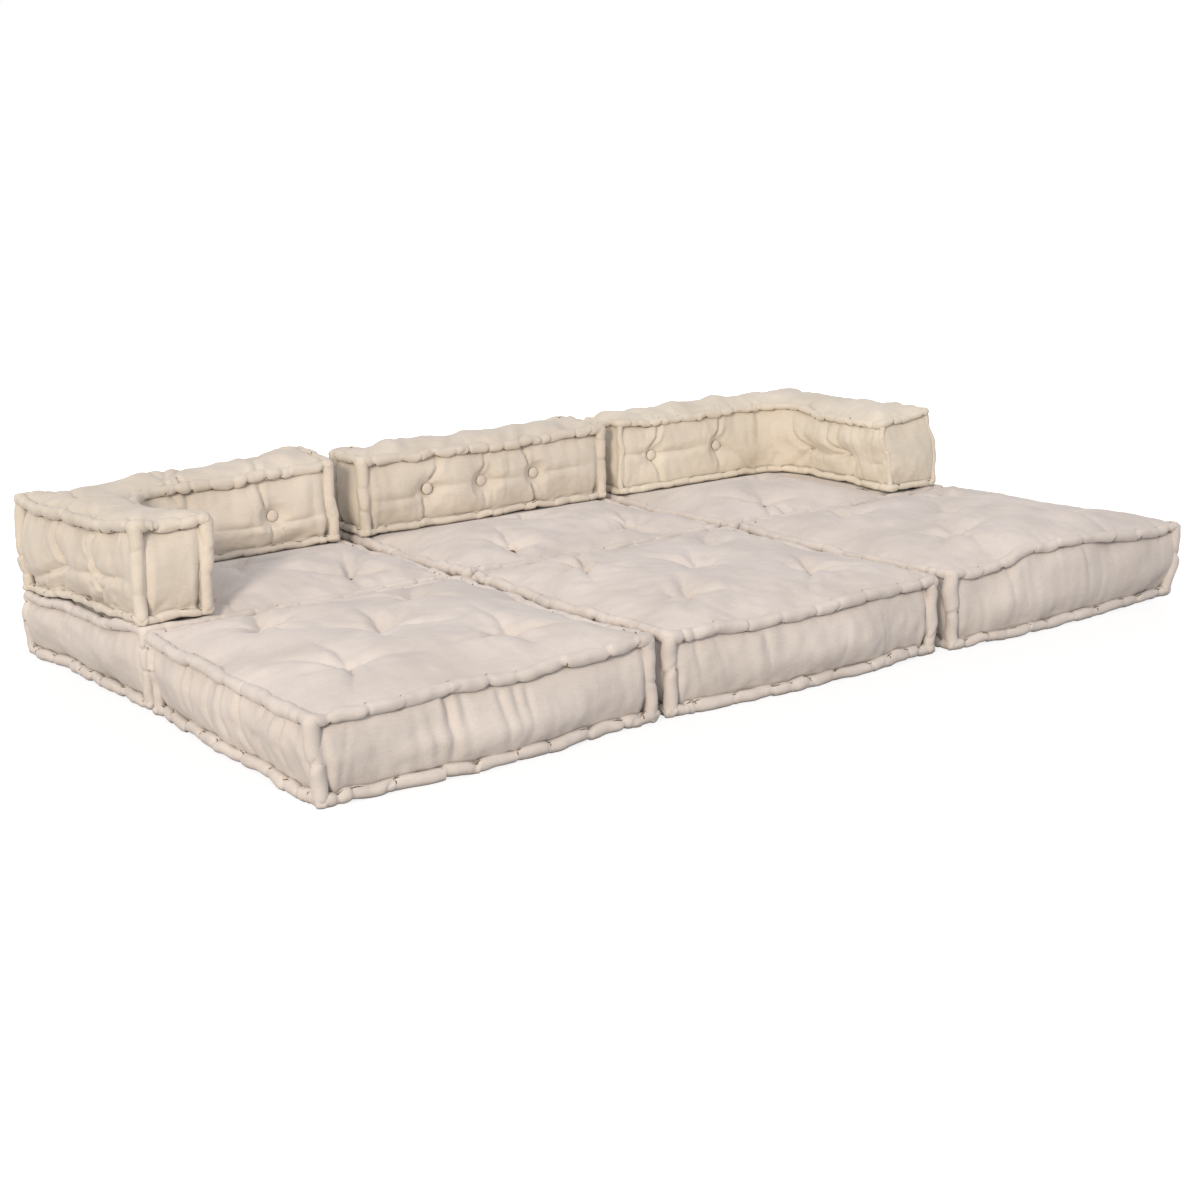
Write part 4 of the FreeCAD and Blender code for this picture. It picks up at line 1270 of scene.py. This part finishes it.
for side, (column, body) in enumerate(backBodies.items(), -1):
    name = column + "_back"
    lo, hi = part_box(name + "_top_roll")
    limbY, half = hi.y - backLook["limb"] / 2, backLook["limb"] / 2
    buttonLo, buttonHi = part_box(name + "_buttons")
    level = (buttonLo.z + buttonHi.z) / 2
    first, last = buttonLo.x + buttonLook["inset"], buttonHi.x - buttonLook["inset"]
    xs = [first, last] if side else [first, (first + last) / 2, last]
    faced = [(x, way) for x in xs for way in (1, -1)]
    tufts = [knotted(backLook["button"], (x, limbY - way * half, level), (0, -way, 0)) for x, way in faced]
    corners, bow = rectangleCorners(lo, hi), seam["backBow"]
    if side:
        corners, bow = angleCorners(lo, hi, backLook["arm"], backLook["limb"], side), seam["angleBow"]
        armX, half = (lo.x if side < 0 else hi.x) - side * backLook["arm"] / 2, backLook["arm"] / 2
        low = backLook["base"] + backLook["tuftLevel"]
        for y, forward, up, depth in backLook["marks"][side]:
            tufts.append(knotted(backLook["tuft"], (armX + half, y, low), (1, 0, 0)))
            shallower = dict(backLook["tuft"], depth=depth)
            tufts.append(knotted(shallower, (armX - half, y + forward, low + up), (-1, 0, 0)))
    cushions.append({
        "name": name, "body": body, "corners": corners, "bows": [bow] * len(corners),
        "seat": cushions[4 + side],
        "height": backLook["height"], "base": backLook["base"], "crown": backLook["crown"],
        # the right back's cloth is painted paler, for the brighter light on its faces
        "cloth": paintedLitCloth if side > 0 else backCloth,
        "tufts": tufts, "seed": 300 + 10 * len(cushions),
        "buttons": [(x, buttonLook["y"], level) for x in xs],
        "cell": cushionLook["backCell"], "every": foldLook["backEvery"], "lump": rollLook["backLump"],
    })

for c in cushions:
    c["seen"], c["edge"] = foldsOf(c["name"]), edges[edgeOf.get(c["name"], "full")]
    for tuft in c["tufts"]:
        angles = anglesOf(tuft, c["seen"])
        if angles:
            tuft["angles"] = angles
    points, faces, kind = cushionForm(c)
    tufts = [dict(tuft, folds=tuft.get("folds", 0)) for tuft in c["tufts"]]
    sunk, held = sinkTufts(points, kind, tufts, c["seed"] + 40)
    middle = (points.min(axis=0) + points.max(axis=0)) / 2
    sewn = middle + (points - middle) * np.array(cushionLook["slack"])
    sunk += (lumps(sunk, cushionLook["unevenWave"], c["seed"] + 5) * cushionLook["uneven"])[:, None]
    held = np.maximum(held, (kind == 1) | (kind == 3))
    c["made"], c["sunk"] = newObject(c["name"] + "_cushion", sunk, faces, c["cloth"]), sunk
    addCloth(c["made"], sewn, held)
print("nine cushions cut and sewn")

scene = bpy.context.scene
for k in range(1, cushionLook["simFrames"] + 1):
    scene.frame_set(k)
for c in cushions:
    mesh = bakedMesh(c["made"])
    grown = readOff(mesh, "co") - c["sunk"]
    far = np.linalg.norm(grown, axis=1)
    grown *= np.minimum(1, cushionLook["cap"] / np.maximum(far, 1e-9))[:, None]
    c["made"].modifiers.clear()
    c["made"].data = mesh
    setPoints(mesh, c["sunk"] + grown)
scene.frame_set(1)
print("stuffing simulated")

# how high a seat may stand: under a back, and how steeply it rises from a little way beside it;
# the right arm leans in, so its footprint is wider
pressLook = {
    "level": 0.1692, "slope": 0.26, "from": 0.010, "soft": 0.003, "above": 0.15, "roll": 0.0006,
    "armLean": {"left": 0, "right": 0.03},
}
footprints = []
for column in ("left", "centre", "right"):
    lo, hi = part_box(f"{column}_back_bottom_roll")
    footprints.append((lo.x, hi.y - backLook["limb"], hi.x, hi.y))
    if column == "left":
        footprints.append((lo.x, lo.y, lo.x + backLook["arm"] + pressLook["armLean"][column], hi.y))
    elif column == "right":
        footprints.append((hi.x - backLook["arm"] - pressLook["armLean"][column], lo.y, hi.x, hi.y))


def pressedTop(x, y):
    gap = np.minimum(np.min([outOfBox(x, y, box) for box in footprints], axis=0), 1.0)
    return pressLook["level"] + pressLook["slope"] * np.maximum(gap - pressLook["from"], 0)


def leant(c, points):
    # a cushion's own leans, and for a back those of the seat that it lies on
    if c["base"] == 0:
        return nudged(points, c["corners"], 0, c["height"], leans.get(c["name"], []))
    points = nudged(points, c["corners"], c["base"], c["height"], leans.get(c["name"], []))
    return nudged(points, c["seat"]["corners"], 0, c["seat"]["height"], leans.get(c["seat"]["name"], []))


def finished(c, name, points, faces, cloth, slot):
    made = newObject(c["name"] + name, leant(c, points), faces, cloth)
    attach(made, c["body"])
    return made


for c in cushions:
    made, seed, base, height = c["made"], c["seed"], c["base"], c["height"]
    subdivided(made)
    mesh = made.data
    points, normals = readOff(mesh, "co"), readOff(mesh, "normal")
    perimeter = sum(sideLengths(c["corners"]))
    c["stitchTop"], c["stitchFoot"] = (stitchShares(perimeter, c["lump"], seed + k) for k in (1, 2))
    points = gather(points, normals, c)
    creases = list(c["seen"]) + cornerCreases(c)
    for k, tuft in enumerate(c["tufts"]):
        if "angles" not in tuft and "folds" in tuft:
            creases += starCreases(tuft, seed + 40, k)
    points = creased(points, normals, creases)
    loose = np.clip(abs(points[:, 2] - base) / foldLook["seamHold"], 0, 1)
    packed = lumps(points, foldLook["packingWave"], seed + 7) * foldLook["packing"]
    packed += lumps(points, foldLook["rippleWave"], seed + 8) * foldLook["ripple"]
    if base:
        (lump, lumpWave), (dip, dipWave) = foldLook["topLump"], foldLook["topDip"]
        onTop = lumps(points, lumpWave, seed + 9) * lump - abs(lumps(points, dipWave, seed + 10)) * dip
        packed += onTop * np.clip(normals[:, 2] * 2 - 0.6, 0, 1)
    points += normals * (packed * loose)[:, None]
    for x, y, z in c["buttons"]:
        out = np.hypot(points[:, 0] - x, points[:, 2] - z)
        least = y + buttonLook["dimple"] - np.maximum(out - buttonLook["radius"], 0) * buttonLook["slope"]
        near = (out < buttonLook["dimpleReach"]) & (abs(points[:, 1] - y) < buttonLook["dimpleWithin"])
        points[:, 1] = np.where(near, np.maximum(points[:, 1], least), points[:, 1])
    points[:, 2] = np.maximum(points[:, 2], base)
    if base == 0:
        limit, soft = pressedTop(points[:, 0], points[:, 1]), pressLook["soft"]
        over = (points[:, 2] - limit) / soft
        eased = np.where(over > 20, over, np.log1p(np.exp(np.minimum(over, 20))))
        points[:, 2] -= soft * eased * (points[:, 2] > pressLook["above"])
        points[:, 2] = np.minimum(points[:, 2], limit)
    setPoints(mesh, leant(c, points))
    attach(made, c["body"])
    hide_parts(c["name"] + "_cover", c["name"] + "_filling")
print("folds, gathers and creases pressed in")

for c in cushions:
    corners, height, base, seed, edge = (c[k] for k in ("corners", "height", "base", "seed", "edge"))
    counts = [max(4, round(length / rollLook["outlineStep"])) for length in sideLengths(corners)]
    line = outlineRing(insetCorners(corners, edge["inset"]), counts, c["bows"])
    share, sag, outward = np.arange(len(line)) / len(line), sagAlong(corners, counts), outwardOf(line)
    rolls, stitches, paths, perimeter = [], [], [], sum(sideLengths(corners))
    deep, foot = (rollLook["backNotch"], rollLook["foot"]) if base else (rollLook["notch"], edge["radius"])
    for radius, level, notches, swaySeed, rollSeed, deepAt in (
        (edge["radius"], height - edge["radius"], c["stitchTop"], seed, seed + 20, -70),
        (foot, foot, c["stitchFoot"], seed + 1, seed + 26, 70),
    ):
        atTop = deepAt < 0
        sideways, rise = swayAlong(share, swaySeed)
        lift = rise - sag if atTop else abs(rise) * rollLook["footRise"]
        path = np.column_stack([line + outward * sideways[:, None], base + level + lift])
        spots = [np.array(spot) / 1000 for spot in pinches.get(c["name"], [])] if atTop else []
        pinched = [np.linalg.norm(line - spot, axis=1).argmin() / len(line) for spot in spots]
        for i, start in enumerate(np.cumsum([0] + counts[:-1])):
            if turnOf(corners, i)[2] > 0:
                aside = rollLook["besideCorner"] / perimeter
                pinched += [(start / len(line) + way * aside) % 1 for way in (-1, 1)]
        apart = rollLook["apart"]
        notches = [at for at in notches if all(abs(at - other) * perimeter > apart for other in pinched)]
        points, faces, frames = rollTube(
            path, radius, notches, pinched, deep, rollSeed, True, (0, 0, 1), deepAt,
        )
        points[:, 2] = np.maximum(points[:, 2], base)
        if base == 0 and atTop:
            highest = pressedTop(points[:, 0], points[:, 1]) + pressLook["roll"]
            points[:, 2] = np.minimum(points[:, 2], highest)
        rolls.append((points, faces))
        often = stitchLook["hiddenFoot"] if base and not atTop else 1
        stitches += sewnStitches(frames, sorted(notches + pinched), deepAt, often, rollSeed + 2)
        paths.append(path)
    made = finished(c, "_edge_rolls", *joined(rolls), c["cloth"], "canvas")
    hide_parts(c["name"] + "_top_roll", c["name"] + "_bottom_roll")
    uprights, start, (down, up) = [], 0, rollLook["uprightEnds"]
    for i, count in enumerate(counts):
        comes, goes, left = turnOf(corners, i)
        upper, lower = paths[0][start], paths[1][start]
        start += count
        if left < 0:
            continue
        out = np.append((comes - goes) / np.linalg.norm(comes - goes), 0)
        path = np.linspace(lower - (0, 0, down), upper + (0, 0, up), 12) + out * rollLook["uprightOut"]
        notches = stitchShares(height, c["lump"], seed + 60 + i)
        points, faces, frames = rollTube(
            path, edge["upright"], notches, [], deep, seed + 70 + i, False, tuple(out), 90,
        )
        uprights.append((points, faces))
        half, steps = stitchLook["uprightHalf"], stitchLook["steps"]
        angle = np.full(steps, math.radians(stitchLook["upright"]))
        for at in notches if base == 0 else []:
            stitches.append(stitchRun(frames, np.linspace(at - half, at + half, steps), angle))
        for k, (spot, knot) in enumerate(((upper, "topKnot"), (lower, "footKnot"))):
            points, faces = knotBall(spot, edge["upright"] * rollLook[knot], seed + 80 + 2 * i + k)
            points[:, 2] = np.maximum(points[:, 2], base)
            uprights.append((points, faces))
    made = finished(c, "_corner_rolls_sewn", *joined(uprights), c["cloth"], "canvas")
    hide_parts(c["name"] + "_corner_rolls")
    # stitches in dark twine, which is also painted shade for the gaps in the seams
    finished(c, "_stitches", *joined(stitches), twineAndSeamShade, "twine")
    if c["buttons"]:
        covered = [coveredButton(spot, (0, -1, 0), seed + 90 + k) for k, spot in enumerate(c["buttons"])]
        made = finished(c, "_covered_buttons", *joined(covered), c["cloth"], "canvas")
        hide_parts(c["name"] + "_buttons")
print("edges rolled and stitched, buttons covered")

for name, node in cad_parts.items():
    if name.endswith("tuft_ties"):
        node.data.materials.clear()
        node.data.materials.append(twineAndSeamShade)

bpy.context.scene.view_settings.view_transform = "Standard"
low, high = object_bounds()
